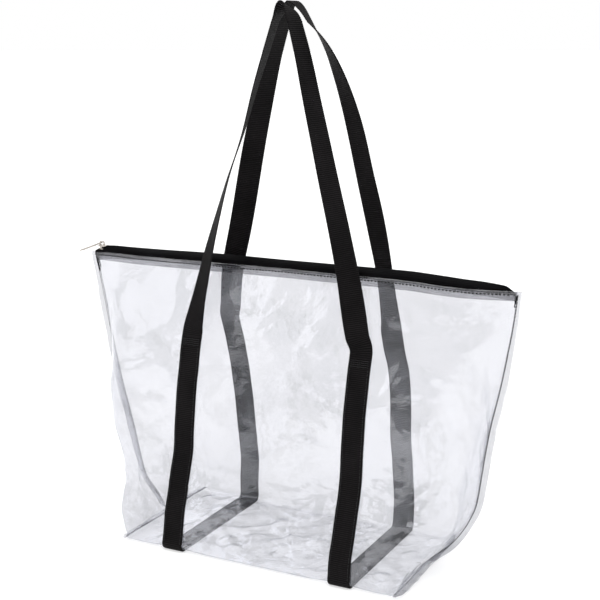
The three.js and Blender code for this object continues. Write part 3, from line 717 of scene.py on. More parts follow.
# the bottom: its edges meet the walls' bends
def bottom_sheet():
    xs = np.concatenate([np.linspace(-160.2, -60, 52)[:-1], np.linspace(-60, 60, 62), np.linspace(60, 160.2, 52)[1:]])
    vs = np.linspace(-1, 1, 84)
    wav, wav2 = Waves(81, 16, 44, 22), Waves(83, 40, 110, 10)
    x, v = np.meshgrid(xs, vs, indexing="ij")
    ax = np.abs(x)
    keep = 1 - smooth(ax, 149, 158.5)
    zb = bottom_z(np.minimum(ax, 160))
    foot = {sd: depth(sd, 8.0) - (8.0 - zb) * 0.9 * keep for sd in (-1, 1)}
    y = np.where(v < 0, v * foot[-1], v * foot[1])
    rim = np.minimum(np.minimum((1 - np.abs(v)) * 86, (160.2 - ax)), 1e9)
    strap = smooth(np.abs(ax - STRAP_X), 12.5, 24)
    ruck = (0.9 * wav(x, y) + 1.3 * wav2(x, y)) * smooth(rim, 0, 20) * strap
    ruck = np.where(ruck < 0, ruck * 0.12, ruck * 1.15)
    ruck = ruck + 1.8 * np.exp(-np.abs((x - 14) * 0.86 + (y + 20) * 0.5) / 3.2) * smooth(rim, 4, 26) * (1 - smooth(np.abs(y + 20), 26, 60)) * strap
    ruck = ruck + 1.6 * np.exp(-np.abs((x + 38) * 0.7 - (y - 24) * 0.72) / 3.0) * smooth(rim, 4, 26) * (1 - smooth(np.abs(y - 24), 20, 52)) * strap
    film = (1 - strap) * 0.16 * (1 + wav(x * 1.7, y * 1.7)) * smooth(rim, 0, 14)
    low = np.stack([x, y, zb + ruck + film], -1)
    up = low.copy()
    up[..., 2] += SHEET
    uv = np.stack([x, y], -1)
    return shell("clear_bottom", up, low, PVC_LOW, uv), low


bottom, bottom_grid = bottom_sheet()
keep_piece(bottom, ["bottom_panel"])
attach(bottom, "root")


def bottom_height(x, y):
    """Height of the bottom sheet's lower face near a point, from its grid."""
    g = bottom_grid.reshape(-1, 3)
    i = np.argmin((g[:, 0] - x) ** 2 + (g[:, 1] - y) ** 2)
    return g[i, 2]


# ------------------------------------------------------------------ seam allowances
def allowance(end, layer):
    """One raw layer of a side seam's allowance, parting from the other in soft waves."""
    z = np.concatenate([np.linspace(10, 60, 26)[:-1], np.linspace(60, 306.5, 92)])
    wav = Waves(91 + end * 3 + layer, 14, 60, 14)
    edge = Waves(97 + end * 3 + layer, 10, 70, 12)
    cols = np.linspace(0, 1, 8)
    zz, c = np.meshgrid(z, cols, indexing="ij")
    width = 5.1 + 0.35 * edge(zz, 0 * zz) + 0.9 * (1 - smooth(zz, 60, 110)) + (0.5 if layer > 0 else 0) + (2.6 * smooth(zz, 50, 110) * (1 - smooth(zz, 180, 280)) if end > 0 else 3.6 * smooth(zz, 40, 100) * (1 - 0.6 * smooth(zz, 250, 300)))
    x0 = seam(end, zz) - 0.25
    part = (0.3 + 0.55 * np.maximum(wav(zz, c * 9), -0.4)) * smooth(c, 0.1, 1) * smooth(zz, 8, 22) * (1 - smooth(zz, 292, 304))
    curl = 0.9 * smooth(c, 0.5, 1) * smooth(wav(zz * 0.7, 40 + 0 * c), 0.3, 1.6)
    slope = np.gradient(seam(end, z), z)[:, None]
    nx, nz = 1 / np.sqrt(1 + slope**2), -slope / np.sqrt(1 + slope**2)
    reach = c * width
    # the lower stretch of the seam runs out sideways, so its allowance hangs below it
    g = np.stack([end * (x0 + nx * reach), layer * (0.36 + part + curl), zz + nz * reach * smooth(zz, 8, 16)], -1)
    g[..., 2] = np.maximum(g[..., 2], 1.0)
    t = g.copy()
    t[..., 1] -= layer * 0.34
    return g, t


def stack(name, sheets, material):
    """Several closed thin sheets in one mesh."""
    verts, faces, base = [], [], 0
    for g, t in sheets:
        m, n = g.shape[:2]
        k = m * n
        f = [grid_faces(m, n, base), grid_faces(m, n, base + k)[:, ::-1]]
        j, i = np.arange(n - 1) + base, np.arange(m - 1) * n + base
        f.append(np.stack([j + 1, j, j + k, j + 1 + k], -1))
        f.append(np.stack([j + (m - 1) * n, j + 1 + (m - 1) * n, j + 1 + (m - 1) * n + k, j + (m - 1) * n + k], -1))
        f.append(np.stack([i, i + n, i + n + k, i + k], -1))
        f.append(np.stack([i + 2 * n - 1, i + n - 1, i + n - 1 + k, i + 2 * n - 1 + k], -1))
        f = np.vstack(f)
        v = np.vstack([g.reshape(-1, 3), t.reshape(-1, 3)])
        a = f - base
        p0, p1, p2, p3 = (v[a[:, q]] for q in range(4))
        vol = np.einsum("ij,ij->i", p0, np.cross(p1, p2)).sum() + np.einsum("ij,ij->i", p0, np.cross(p2, p3)).sum()
        faces.append(f if vol > 0 else f[:, ::-1])
        verts.append(v)
        base += 2 * k
    return new_mesh(name, np.vstack(verts), [np.vstack(faces)], material, sharp=50)


def seam_height(end, y):
    """The gusset seam's height: its middle and its tips stand a little off the ground."""
    return CORNER_LIFT + 0.5 * np.sin(np.asarray(y) / 19.0 + end) * (1 - smooth(np.abs(y), 60, 84))


for end in (-1, 1):
    word = SIDE[end]
    ob = stack(f"seam_allowance_{word}", [allowance(end, -1), allowance(end, 1)], PVC_EDGE)
    keep_piece(ob, ["side_flange_" + word])
    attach(ob, "root")
    z = np.linspace(12, 303.5, 150)
    rows = []
    for layer in (-1, 1):
        slope = np.gradient(seam(end, z), z)
        x = seam(end, z) + 0.75 / np.sqrt(1 + slope**2)
        zz = z - 0.75 * slope / np.sqrt(1 + slope**2)
        rows.append((np.column_stack([end * x, np.full(len(z), layer * 1.15), zz]), np.tile([0, layer, 0], (len(z), 1))))
    ob = stitches(f"seam_thread_{word}", rows, THREAD, pitch=3.5, length=3.15, r=0.33, seed=5 + end, sink=0.2)
    keep_piece(ob, ["side_seam_stitching_" + word])
    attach(ob, "root")

    # the gusset's allowance: the two raw layers lie outwards along the ground
    sheets = []
    for layer in (0, 1):
        y = np.linspace(-86.5, 86.5, 70)
        c = np.linspace(0, 1, 9)
        yy, cc = np.meshgrid(y, c, indexing="ij")
        wav, edge = Waves(111 + end + 5 * layer, 16, 60, 14), Waves(121 + end + 5 * layer, 18, 80, 10)
        width = (6.4 + 0.7 * edge(yy, 0 * yy) + 1.2 * layer) * (0.55 + 0.45 * smooth(86.5 - np.abs(yy), 0, 12))
        x = 160.1 + cc * width * 0.96
        zc = seam_height(end, yy) - 0.1 + layer * 0.55
        lift = zc + (0.6 * wav(yy, cc * 8) * cc - (1.9 - 1.3 * layer) * cc) * smooth(86.5 - np.abs(yy), 0, 14)
        g = np.stack([end * x, yy, np.maximum(lift, 0.35)], -1)
        t = g.copy()
        t[..., 2] += 0.36
        sheets.append((g, t))
    ob = stack(f"gusset_allowance_{word}", sheets, PVC_EDGE)
    keep_piece(ob, ["gusset_flange_" + word])
    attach(ob, "root")
    y = np.linspace(-84.5, 84.5, 120)
    p = np.column_stack([np.full(len(y), end * 160.9), y, seam_height(end, y) + 0.95])
    v1, f1 = stitch_rows([(p, np.tile([0, 0, 1.0], (len(y), 1)))], pitch=3.5, length=3.15, r=0.27, seed=15 + end)
    # cut thread ends at the middle of the gusset and at its tips
    extra_v, extra_f = [v1], list(f1)
    base = len(v1)
    ends = [((end * 160.9, -1.0, 5.1), (end * 157.2, -3.8, 6.8), (end * 152.6, -3.2, 6.0)), ((end * 160.9, 84, 5.0), (end * 162.3, 86.5, 4.6), (end * 163.0, 88.2, 3.4))]
    if end < 0:
        ends.append(((-160.9, 1.0, 5.1), (-163.6, 3.2, 5.4), (-166.0, 3.0, 4.2)))
    for tail in ends:
        a, b, c3 = (np.array(q, float) for q in tail)
        tt = np.linspace(0, 1, 12)[:, None]
        line = (1 - tt) ** 2 * a + 2 * tt * (1 - tt) * b + tt**2 * c3
        tan = unit(np.gradient(line, axis=0))
        up = unit(np.cross(tan, [[0.2, 0.1, 1.0]]))
        sd = np.cross(tan, up)
        an = np.linspace(0, 2 * math.pi, 6, endpoint=False)
        ring = line[:, None] + 0.26 * (np.cos(an)[None, :, None] * up[:, None] + np.sin(an)[None, :, None] * sd[:, None])
        q, cp = tube(ring, base=base)
        extra_v.append(ring.reshape(-1, 3))
        extra_f += [q, cp]
        base += ring.shape[0] * 6
    ob = new_mesh(f"gusset_thread_{word}", np.vstack(extra_v), extra_f, THREAD)
    keep_piece(ob, ["gusset_stitching_" + word])
    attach(ob, "root")

# ------------------------------------------------------------------ webbing sewn to the bag
def strap_line(side, x0, lift, z0=8.0, z1=SEWN_TOP, step=1.0):
    """Points and normals up the sewn webbing's centre plane, lift mm outside the sheet's outer face."""
    z = np.arange(z0, z1 + 0.01, step)
    y = depth(side, z) + relief(side, np.full(len(z), x0), z) + lift
    p = np.column_stack([np.full(len(z), x0), side * y, z])
    t = unit(np.gradient(p, axis=0))
    n = np.column_stack([np.zeros(len(z)), side * t[:, 2], -side * t[:, 1]])
    return p, n


for side in (-1, 1):
    w = WORD[side]
    for end in (-1, 1):
        word, x0 = SIDE[end], end * STRAP_X
        p, n = strap_line(side, x0, 0.25 + WEB_T / 2, 8.0)
        # round the foot on to the ground
        a = np.linspace(0, math.pi / 2, 14)
        y8, r = abs(p[0, 1]), 8.0 - WEB_T / 2
        foot = np.column_stack([np.full(14, x0), side * (y8 - r * 0.75 * (1 - np.cos(a))), 8.0 - r * np.sin(a)])
        fn = np.column_stack([np.zeros(14), side * np.cos(a), -np.sin(a)])
        path = np.vstack([foot[::-1], p[1:]])
        nor = np.vstack([fn[::-1], n[1:]])
        ob = webbing(f"webbing_{w}_{word}", path, nor, WEB)
        keep_piece(ob, [f"{w}_strap_{word}"])
        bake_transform(ob)
        foot_y = foot[-1, 1]
        # two edge lines through the webbing and the sheet, on both of their faces
        rows = []
        for u in (-(WEB_W / 2 - STITCH_IN), WEB_W / 2 - STITCH_IN):
            q, m = strap_line(side, x0, 0.25 + WEB_T + 0.02, 9.0, 220.0)
            q = q.copy()
            q[:, 0] += u
            rows.append((q, m))
            q, m = strap_line(side, x0, -SHEET - 0.02, 9.0, 220.0)
            q = q.copy()
            q[:, 0] += u
            rows.append((q, -m))
        if side > 0 and end < 0:  # where the two ends of the webbing are joined
            for z in (26.0, 29.0, 32.0):
                q, m = strap_line(side, x0, 0.25 + WEB_T + 0.04, z, z + 1.5)
                xs = np.linspace(-9.5, 9.5, 20)
                rows.append((np.column_stack([x0 + xs, np.full(20, q[0, 1]), np.full(20, z)]), np.tile(m[0], (20, 1))))
                q, m = strap_line(side, x0, -SHEET - 0.04, z, z + 1.5)
                rows.append((np.column_stack([x0 + xs, np.full(20, q[0, 1]), np.full(20, z)]), np.tile(-m[0], (20, 1))))
        ob = stitches(f"webbing_thread_{w}_{word}", rows, THREAD, pitch=3.6, length=2.95, r=0.27, seed=200 + side * 7 + end)
        keep_piece(ob, [f"{w}_strap_stitching_{word}"])
        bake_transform(ob)
        # the bar tack at the top of the sewn run
        rows = []
        for k, z in enumerate((221.4, 223.4, 225.4, 227.4)):
            q, m = strap_line(side, x0, 0.25 + WEB_T + 0.05, z, z + 1.5)
            xs = np.linspace(-10.4, 10.4, 24)
            rows.append((np.column_stack([x0 + xs, np.full(24, q[0, 1]), np.full(24, z) + 0.25 * np.sin(xs)]), np.tile(m[0], (24, 1))))
            q, m = strap_line(side, x0, -SHEET - 0.04, z, z + 1.5)
            rows.append((np.column_stack([x0 + xs, np.full(24, q[0, 1]), np.full(24, z)]), np.tile(-m[0], (24, 1))))
        ob = stitches(f"webbing_tack_{w}_{word}", rows, THREAD, pitch=2.3, length=1.95, r=0.3, seed=300 + side * 7 + end)
        keep_piece(ob, [f"{w}_strap_tack_{word}"])
        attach(ob, w + "_mouth")

for end in (-1, 1):
    word, x0 = SIDE[end], end * STRAP_X
    y0 = -(depth(-1, 8.0) + relief(-1, x0, 8.0) + 0.95 - (8.0 - 0.7) * 0.75)
    y1 = depth(1, 8.0) + relief(1, x0, 8.0) + 0.95 - (8.0 - 0.7) * 0.75
    y = np.linspace(float(y0), float(y1), 170)
    path = np.column_stack([np.full(170, x0), y, np.full(170, WEB_T / 2 + 0.05)])
    ob = webbing(f"webbing_bottom_{word}", path, np.tile([0, 0, -1.0], (170, 1)), WEB)
    keep_piece(ob, ["bottom_strap_" + word])
    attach(ob, "root")
    rows = []
    for u in (-(WEB_W / 2 - STITCH_IN), WEB_W / 2 - STITCH_IN):
        yy = np.linspace(-78, 78, 120)
        zz = np.array([bottom_height(x0 + u, q) for q in yy]) + SHEET + 0.1
        rows.append((np.column_stack([np.full(120, x0 + u), yy, zz]), np.tile([0, 0, 1.0], (120, 1))))
    ob = stitches(f"webbing_thread_bottom_{word}", rows, THREAD, pitch=3.6, length=2.95, r=0.27, seed=400 + end)
    keep_piece(ob, ["bottom_strap_stitching_" + word])
    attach(ob, "root")


# ------------------------------------------------------------------ handles
def leg(table, sx, sy):
    z = np.arange(231.0, 562.01, 1.0)
    tab = np.array(table, float)
    x, y, tw = (natural(tab[:, [0, i]])(z) for i in (1, 2, 3))
    f = np.radians(tw)
    return np.column_stack([x, y, z]), np.column_stack([sx * np.sin(f), sy * np.cos(f), 0 * z])


def handle_path(left, right, apex, across, sy):
    """Centreline and outward normals of a handle: two legs, and a tight fold over the top."""
    pl, nl = leg(left, -1, sy)
    pr, nr = leg(right, 1, sy)
    # each leg leaves the sewn webbing along the wall, then turns upright
    for p, n, x0 in ((pl, nl, -STRAP_X), (pr, nr, STRAP_X)):
        q, m = strap_line(sy, x0, 0.25 + WEB_T / 2, SEWN_TOP - 1.0, SEWN_TOP, 1.0)
        way = unit(q[-1] - q[0])
        p[0, 2] = SEWN_TOP - 0.8
        z = p[:, 2].copy()
        line = q[-1] + way * ((z - SEWN_TOP) / way[2])[:, None]
        k = smooth(z, 231.5, 252)[:, None]
        p[:] = line * (1 - k) + p * k
        n[:] = unit(m[-1] * (1 - k) + n * k)
    a, b, apex, across = pl[-1], pr[-1], np.array(apex), unit(np.array(across))
    wa, wb = unit(np.cross(pl[-1] - pl[-3], nl[-1])), unit(np.cross(pr[-3] - pr[-1], nr[-1]))
    height = apex[2] - a[2]
    arc_p, arc_n = [], []
    for u in np.linspace(-1, 1, 52)[1:-1]:
        v, end, wide = abs(u), a if u < 0 else b, wa if u < 0 else wb
        reach = apex[0] - a[0] if u < 0 else b[0] - apex[0]
        power = ARC_POWER
        arc_p.append([apex[0] + reach * u, apex[1] + (end[1] - apex[1]) * v, a[2] + height * (1 - v**power)])
        k = v * v * (3 - 2 * v)
        w = unit(across * (1 - k) + wide * k)
        t = unit(np.array([reach, 0.0, -math.copysign(1, u) * height * power * v ** (power - 1)]))
        arc_n.append(unit(np.cross(w, t)))
    p = np.vstack([pl, arc_p, pr[::-1]])
    n = unit(np.vstack([nl, arc_n, nr[::-1]]))
    return p, n


for side, tabs, apex, across in ((-1, (LEG_FRONT_LEFT, LEG_FRONT_RIGHT), APEX_FRONT, ACROSS_FRONT), (1, (LEG_BACK_LEFT, LEG_BACK_RIGHT), APEX_BACK, ACROSS_BACK)):
    p, n = handle_path(*tabs, apex, across, side)
    ob = webbing(f"handle_{WORD[side]}", p, n, WEB, start=3.0)
    keep_piece(ob, [WORD[side] + "_handle"])
    w = WORD[side]
    y = 0.0363 * -1 if side < 0 else 0.0491
    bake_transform(ob)


# ------------------------------------------------------------------ zipper and hem
def edge_y(side, x, z):
    """Distance of a wall's outer face from the middle plane, along the mouth."""
    out = np.empty(len(x))
    cache = {}
    for e in (-1, 1):
        pts, _, _, _ = section(side, e, z, 220)
        cache[e] = pts
    for i, q in enumerate(x):
        pts = cache[-1 if q < 0 else 1]
        u = abs(q)
        out[i] = float(depth(side, z)) if u <= STRAP_X else np.interp(u, pts[:, 0], pts[:, 1])
    return out


def mouth_curves(side, xs):
    """The hem's outer face at its lower and upper edge."""
    return edge_y(side, xs, HEM_Z), edge_y(side, xs, TOP_Z)


SPANS = {"left": (-248.6, HEM_SPLIT), "right": (HEM_SPLIT, 249.2)}
for side in (-1, 1):
    w = WORD[side]
    for word, (xa, xb) in SPANS.items():
        end = -1 if word == "left" else 1
        # the folded hem: out over the top edge and down both faces
        xs = np.arange(xa, xb + 0.1, 2.2)
        xs = np.linspace(xa, xb, max(len(xs), 8))
        lo, hi = mouth_curves(side, xs)
        ripple, sag = Waves(141 + side + end, 12, 60, 14), Waves(151 + side + end, 30, 150, 8)
        prof = [(0.22, 0.0), (0.62, 0.06), (0.78, 1.4), (0.80, 4.0), (0.74, 6.6), (0.66, 8.0), (0.40, 8.95), (0.0, 9.35), (-0.55, 9.45), (-0.98, 9.1), (-1.16, 8.3), (-1.2, 6.8)]
        prof = np.array(prof)
        grid = np.empty((len(xs), len(prof), 3))
        for j, (o, h) in enumerate(prof):
            base = lo + (hi - lo) * min(h / 8.5, 1.0)
            wave = 0.22 * ripple(xs, np.full(len(xs), h * 2.0)) * (0.3 + 0.7 * math.exp(-((h - 2.0) / 3.0) ** 2)) * (1 if o > 0 else 0.2)
            drop = 0.25 * sag(xs, 0 * xs)
            y = np.maximum(base + o + np.maximum(wave, -0.25), 0.35 + max(o, 0) + 0.3)
            grid[:, j] = np.column_stack([xs, side * y, HEM_Z + h + drop * (0.5 if h < 3 else 0.8) + mouth_lift(xs)])
        n = normals_of(grid)
        if n[len(xs) // 2, 3, 1] * side < 0:
            n = -n
        ob = shell(f"hem_{w}_{word}", grid, grid - n * 0.36, PVC_HEM, np.stack([grid[..., 0], grid[..., 2]], -1))
        ob.data.materials.append(PVC_FOLD_HIGHLIGHT)
        for pl in ob.data.polygons:  # the sheet is single above the stitch line, and the lighter fold copy there is also a painted highlight along the fold's rounded top
            cx, _, cz = pl.center
            if cz / MM - float(mouth_lift(cx / MM)) > HEM_STITCH_Z + 0.9:
                pl.material_index = 1
        keep_piece(ob, [])
        to_mouth(ob)
        # its stitch line, on the outer face
        xs2 = np.arange(max(xa, -245.5), min(xb, 246.5), 1.5)
        lo2, hi2 = mouth_curves(side, xs2)
        base = lo2 + (hi2 - lo2) * 0.72
        z = HEM_STITCH_Z + 0.18 * sag(xs2, 0 * xs2) + mouth_lift(xs2)
        outer = np.column_stack([xs2, side * (np.maximum(base, 1.0) + 1.4 + 0.1 * ripple(xs2, 9 + 0 * xs2)), z])
        ob = stitches(f"hem_thread_{w}_{word}", [(outer, np.tile([0, side, 0.0], (len(xs2), 1)))], THREAD, pitch=3.8, length=2.5, r=0.85, seed=500 + side * 3 + end, sink=0.34)
        keep_piece(ob, [w + "_hem_stitching"])
        to_mouth(ob)
        # the tape: up from the hem's fold, then over to the closed coil, with woven ridges along it
        ta, tb = (-250.6, HEM_SPLIT) if end < 0 else (HEM_SPLIT, 248.2)
        xs3 = np.linspace(ta, tb, int((tb - ta) / 2.0))
        _, hi3 = mouth_curves(side, xs3)
        m = np.maximum(hi3 - 1.25, 0.85)
        bulge = 0.5 * np.exp(-(((xs3 + 222) / 12.0) ** 2)) * (1 if end < 0 else 0)
        dive = smooth(np.abs(xs3), 237, 248.5)
        arch = Waves(171 + end, 90, 260, 8)(xs3, 0 * xs3) * 0.35
        steps = np.linspace(0, 1, 30)
        grid = np.empty((len(xs3), len(steps), 3))
        for j, q in enumerate(steps):
            # 0 to 0.3 rises out of the hem, 0.3 to 1 leans over to the middle
            if q < 0.3:
                k = q / 0.3
                y, z = m + 0.1 * math.sin(k * math.pi), 303.2 + (ZIP_TOP - 3.2 - 303.2) * k
            else:
                k = (q - 0.3) / 0.7
                y = 0.14 + (m - 0.14) * (1 - k) ** 0.92
                z = ZIP_TOP - 3.2 + 3.2 * math.sin(k * math.pi / 2) ** 0.8
            ridge = 0.2 * max(0.0, math.sin(q * math.pi * 9)) ** 2 + (0.28 * math.exp(-(((q - 0.9) / 0.035) ** 2)))
            z = z + (bulge + arch * 0.8) * q + mouth_lift(xs3)
            z = z + tape_drop(xs3) * min(q / 0.3, 1) - 1.5 * dive
            y = y * (1 - 0.35 * dive) + 0.05
            grid[:, j] = np.column_stack([xs3, side * y, z])
            grid[:, j, 2] += ridge * (0.4 + 0.6 * min(q * 2, 1))
            grid[:, j, 1] += side * ridge * (0.9 if q < 0.45 else 0.15)
        n = normals_of(grid)
        if n[len(xs3) // 2, 20, 2] < 0:
            n = -n
        arc3 = np.concatenate([[0], np.cumsum(np.linalg.norm(np.diff(grid[0], axis=0), axis=1))])
        uv = np.stack([np.repeat(arc3[None], len(xs3), 0), np.repeat(xs3[:, None], len(steps), 1)], -1)
        ob = shell(f"zip_tape_{w}_{word}", grid, grid - n * 0.5, TAPE, uv)
        keep_piece(ob, ["zipper_tape_" + w])
        to_mouth(ob)
        # the coil on the tape's underside
        pitch = 1.5
        ca, cb = (-230.0, HEM_SPLIT) if end < 0 else (HEM_SPLIT, 240.0)
        turns = int((cb - ca) / pitch)
        k = np.arange(turns * 9 + 1)
        ph = 2 * math.pi * k / 9
        cxs = ca + pitch * k / 9
        xh = np.interp(cxs, xs3, grid[:, -1, 2])
        cy = side * (0.62 + 0.5 * np.cos(ph))
        cz = xh - 1.55 + 0.62 * np.sin(ph)
        line = np.column_stack([cxs + side * 0.18 * np.cos(ph), cy, cz])
        tan = unit(np.gradient(line, axis=0))
        up = unit(np.cross(tan, np.tile([1.0, 0, 0], (len(k), 1)) + 1e-4))
        sd = np.cross(tan, up)
        an = np.linspace(0, 2 * math.pi, 5, endpoint=False)
        ring = line[:, None] + 0.2 * (np.cos(an)[None, :, None] * up[:, None] + np.sin(an)[None, :, None] * sd[:, None])
        q, cp = tube(ring)
        ob = face_out(new_mesh(f"zip_coil_{w}_{word}", ring.reshape(-1, 3), [q, cp], COIL))
        keep_piece(ob, ["zipper_coil_" + w])
        to_mouth(ob)

# the tape's cut ends, folded down into each side seam
for end in (-1, 1):
    word = SIDE[end]
    strips = []
    spec = [(-0.5, 301.5, 284.0 if end < 0 else 290.5, 2.4 if end < 0 else 1.6), (0.5, 301.5, 287.5 if end < 0 else 293.0, 1.8)]
    for lay, z0, z1, wd in spec:
        z = np.linspace(z1, z0, 12)
        c = np.linspace(-1, 1, 4)
        zz, cc = np.meshgrid(z, c, indexing="ij")
        wide = wd * (0.6 + 0.4 * smooth(zz, z1 + 3.0, z0 - 3))
        x = end * (seam(end, zz) - 0.2 + cc * wide * 0.5 - 0.3)
        y = lay * 3.0 + 0 * zz - lay * 0.6 * smooth(zz, z0 - 8, z0)
        g = np.stack([x, y, zz], -1)
        t = g.copy()
        t[..., 1] += math.copysign(0.4, lay)
        strips.append((g, t))
    ob = stack(f"zip_tape_end_{word}", strips, TAPE)
    keep_piece(ob, [])
    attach(ob, "root")


# ------------------------------------------------------------------ slider and pull tab
def flat_plate(outline, holes, thick, bevel):
    """A flat plate with rounded edges from a closed outline, in mm, centred on z = 0, as a mesh in mm."""
    cu = bpy.data.curves.new("plate", "CURVE")
    cu.dimensions = "2D"
    cu.fill_mode = "BOTH"
    cu.extrude = thick / 2 - bevel
    cu.bevel_depth = bevel
    cu.bevel_resolution = 3
    cu.offset = -bevel
    for loop in [outline, *holes]:
        sp = cu.splines.new("POLY")
        sp.points.add(len(loop) - 1)
        for pt, (x, y) in zip(sp.points, loop):
            pt.co = (x, y, 0, 1)
        sp.use_cyclic_u = True
    ob = bpy.data.objects.new("plate", cu)
    bpy.context.scene.collection.objects.link(ob)
    dg = bpy.context.evaluated_depsgraph_get()
    me = bpy.data.meshes.new_from_object(ob.evaluated_get(dg), depsgraph=dg)
    v = np.array([q.co[:] for q in me.vertices], float).reshape(-1, 3)
    f = [tuple(pl.vertices) for pl in me.polygons]
    bpy.data.objects.remove(ob)
    bpy.data.meshes.remove(me)
    return v, f


def rounded(points, radius, steps=5):
    """A closed outline with its corners rounded."""
    out = []
    n = len(points)
    for i, p in enumerate(points):
        p, a, b = np.array(p, float), np.array(points[i - 1], float), np.array(points[(i + 1) % n], float)
        da, db = a - p, b - p
        la, lb = np.hypot(*da), np.hypot(*db)
        r = min(radius, la * 0.48, lb * 0.48)
        s, e = p + da / la * r, p + db / lb * r
        for t in np.linspace(0, 1, steps):
            out.append(tuple((1 - t) ** 2 * s + 2 * t * (1 - t) * p + t * t * e))
    return out


def joined(name, parts, material, sharp=35):
    me = bpy.data.meshes.new(name)
    verts, faces = [], []
    for v, f in parts:
        base = len(verts)
        verts += [tuple(np.array(q) * MM) for q in v]
        faces += [tuple(base + i for i in q) for q in f]
    me.from_pydata(verts, [], faces)
    me.validate()
    me.polygons.foreach_set("use_smooth", np.ones(len(me.polygons), bool))
    me.materials.append(material)
    me.set_sharp_from_angle(angle=math.radians(sharp))
    ob = bpy.data.objects.new(name, me)
    bpy.context.scene.collection.objects.link(ob)
    bm = bmesh.new()
    bm.from_mesh(me)
    bmesh.ops.remove_doubles(bm, verts=bm.verts, dist=2e-6)
    bmesh.ops.recalc_face_normals(bm, faces=bm.faces)
    bm.to_mesh(me)
    bm.free()
    return ob


def sweep(points, normal, wide, thick, sides=12):
    """A rounded bar along points, wide along normal."""
    p = np.array(points, float)
    arc = arc_of(p)
    s = np.linspace(0, arc[-1], 40)
    q = sample(p, arc, s)
    for _ in range(6):
        q[1:-1] = 0.5 * q[1:-1] + 0.25 * (q[:-2] + q[2:])
    t = unit(np.gradient(q, axis=0))
    nn = np.tile(np.array(normal, float), (len(q), 1))
    b = np.cross(t, nn)
    an = np.linspace(0, 2 * math.pi, sides, endpoint=False)
    c, sn = np.cos(an), np.sin(an)
    sq = np.sign(c) * np.abs(c) ** 0.55, np.sign(sn) * np.abs(sn) ** 0.55
    ring = q[:, None] + nn[:, None] * (sq[0] * wide / 2)[None, :, None] + b[:, None] * (sq[1] * thick / 2)[None, :, None]
    quads, caps = tube(ring)
    return ring.reshape(-1, 3), [tuple(x) for x in quads] + [tuple(x) for x in caps]


SX, PX, PZ = -239.0, -243.0, 317.0
plate = rounded([(-5.4, -3.4), (-2.0, -4.3), (2.4, -4.2), (5.2, -2.6), (5.2, 2.6), (2.4, 4.2), (-2.0, 4.3), (-5.4, 3.4)], 1.6)
parts = []
for z, th in ((309.75, 0.8), (313.75, 1.1)):
    v, f = flat_plate(plate, [], th, 0.25)
    parts.append((v * np.array([1, 0.42 if z < 312 else 1, 1]) + np.array([SX, 0, z]), f))  # the lower plate lies inside the tapes
v, f = flat_plate(rounded([(-1.3, -1.3), (1.3, -1.0), (1.3, 1.0), (-1.3, 1.3)], 0.7), [], 3.6, 0.1)
parts.append((v + np.array([SX - 3.3, 0, 311.8]), f))
for sy in (-1, 1):  # the side flanges that gather the coil
    v, f = flat_plate(rounded([(-4.6, -0.35), (3.6, -0.35), (3.6, 0.35), (-4.6, 0.35)], 0.3), [], 1.0, 0.12)
    parts.append((v + np.array([SX, sy * 3.7, 313.4]), f))
parts.append(sweep([(PX - 0.55, 0, 314.0), (PX - 0.55, 0, 316.6), (PX - 0.35, 0, 318.1), (PX + 0.8, 0, 318.35), (PX + 3.8, 0, 318.35), (PX + 4.75, 0, 317.9), (PX + 4.8, 0, 316.4), (PX + 4.8, 0, 314.0)], (0, 1, 0), 2.6, 0.85))
ob = joined("zip_slider", parts, METAL)
keep_piece(ob, ["slider_body"])
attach(ob, "slider")

half = 4.0
outline = rounded([(-0.6, -2.4), (3.2, -2.6), (7.2, -half), (29.5, -half), (33.0, -1.9), (33.0, 1.9), (29.5, half), (7.2, half), (3.2, 2.6), (-0.6, 2.4)], 2.2, 6)
window = rounded([(0.6, -1.65), (0.6, 1.65), (5.4, 1.75), (5.4, -1.75)], 0.5)
v, f = flat_plate(outline, [window], 1.4, 0.35)
slot_v, slot_f = flat_plate(rounded([(9.5, -2.2), (28.5, -2.2), (29.8, 0), (28.5, 2.2), (9.5, 2.2), (8.6, 0)], 1.0, 4), [], 0.3, 0.1)
body = [(v, f), (slot_v + np.array([0, 0, 0.72]), slot_f), (slot_v + np.array([0, 0, -0.72]), slot_f)]
moved = []
droop = math.radians(22)
for vv, ff in body:
    x, y, z = vv.T
    z = z + 0.0014 * np.maximum(x - 12, 0) ** 2
    # turned over to point along -X and down
    wx = (PX + 1.5) - (x * math.cos(droop)) + z * math.sin(droop) * -1
    wz = PZ - x * math.sin(droop) + z * math.cos(droop)
    moved.append((np.column_stack([wx, y, wz]), ff))
ob = joined("zip_pull", moved, METAL)
keep_piece(ob, ["pull_tab"])
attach(ob, "pull_tab")


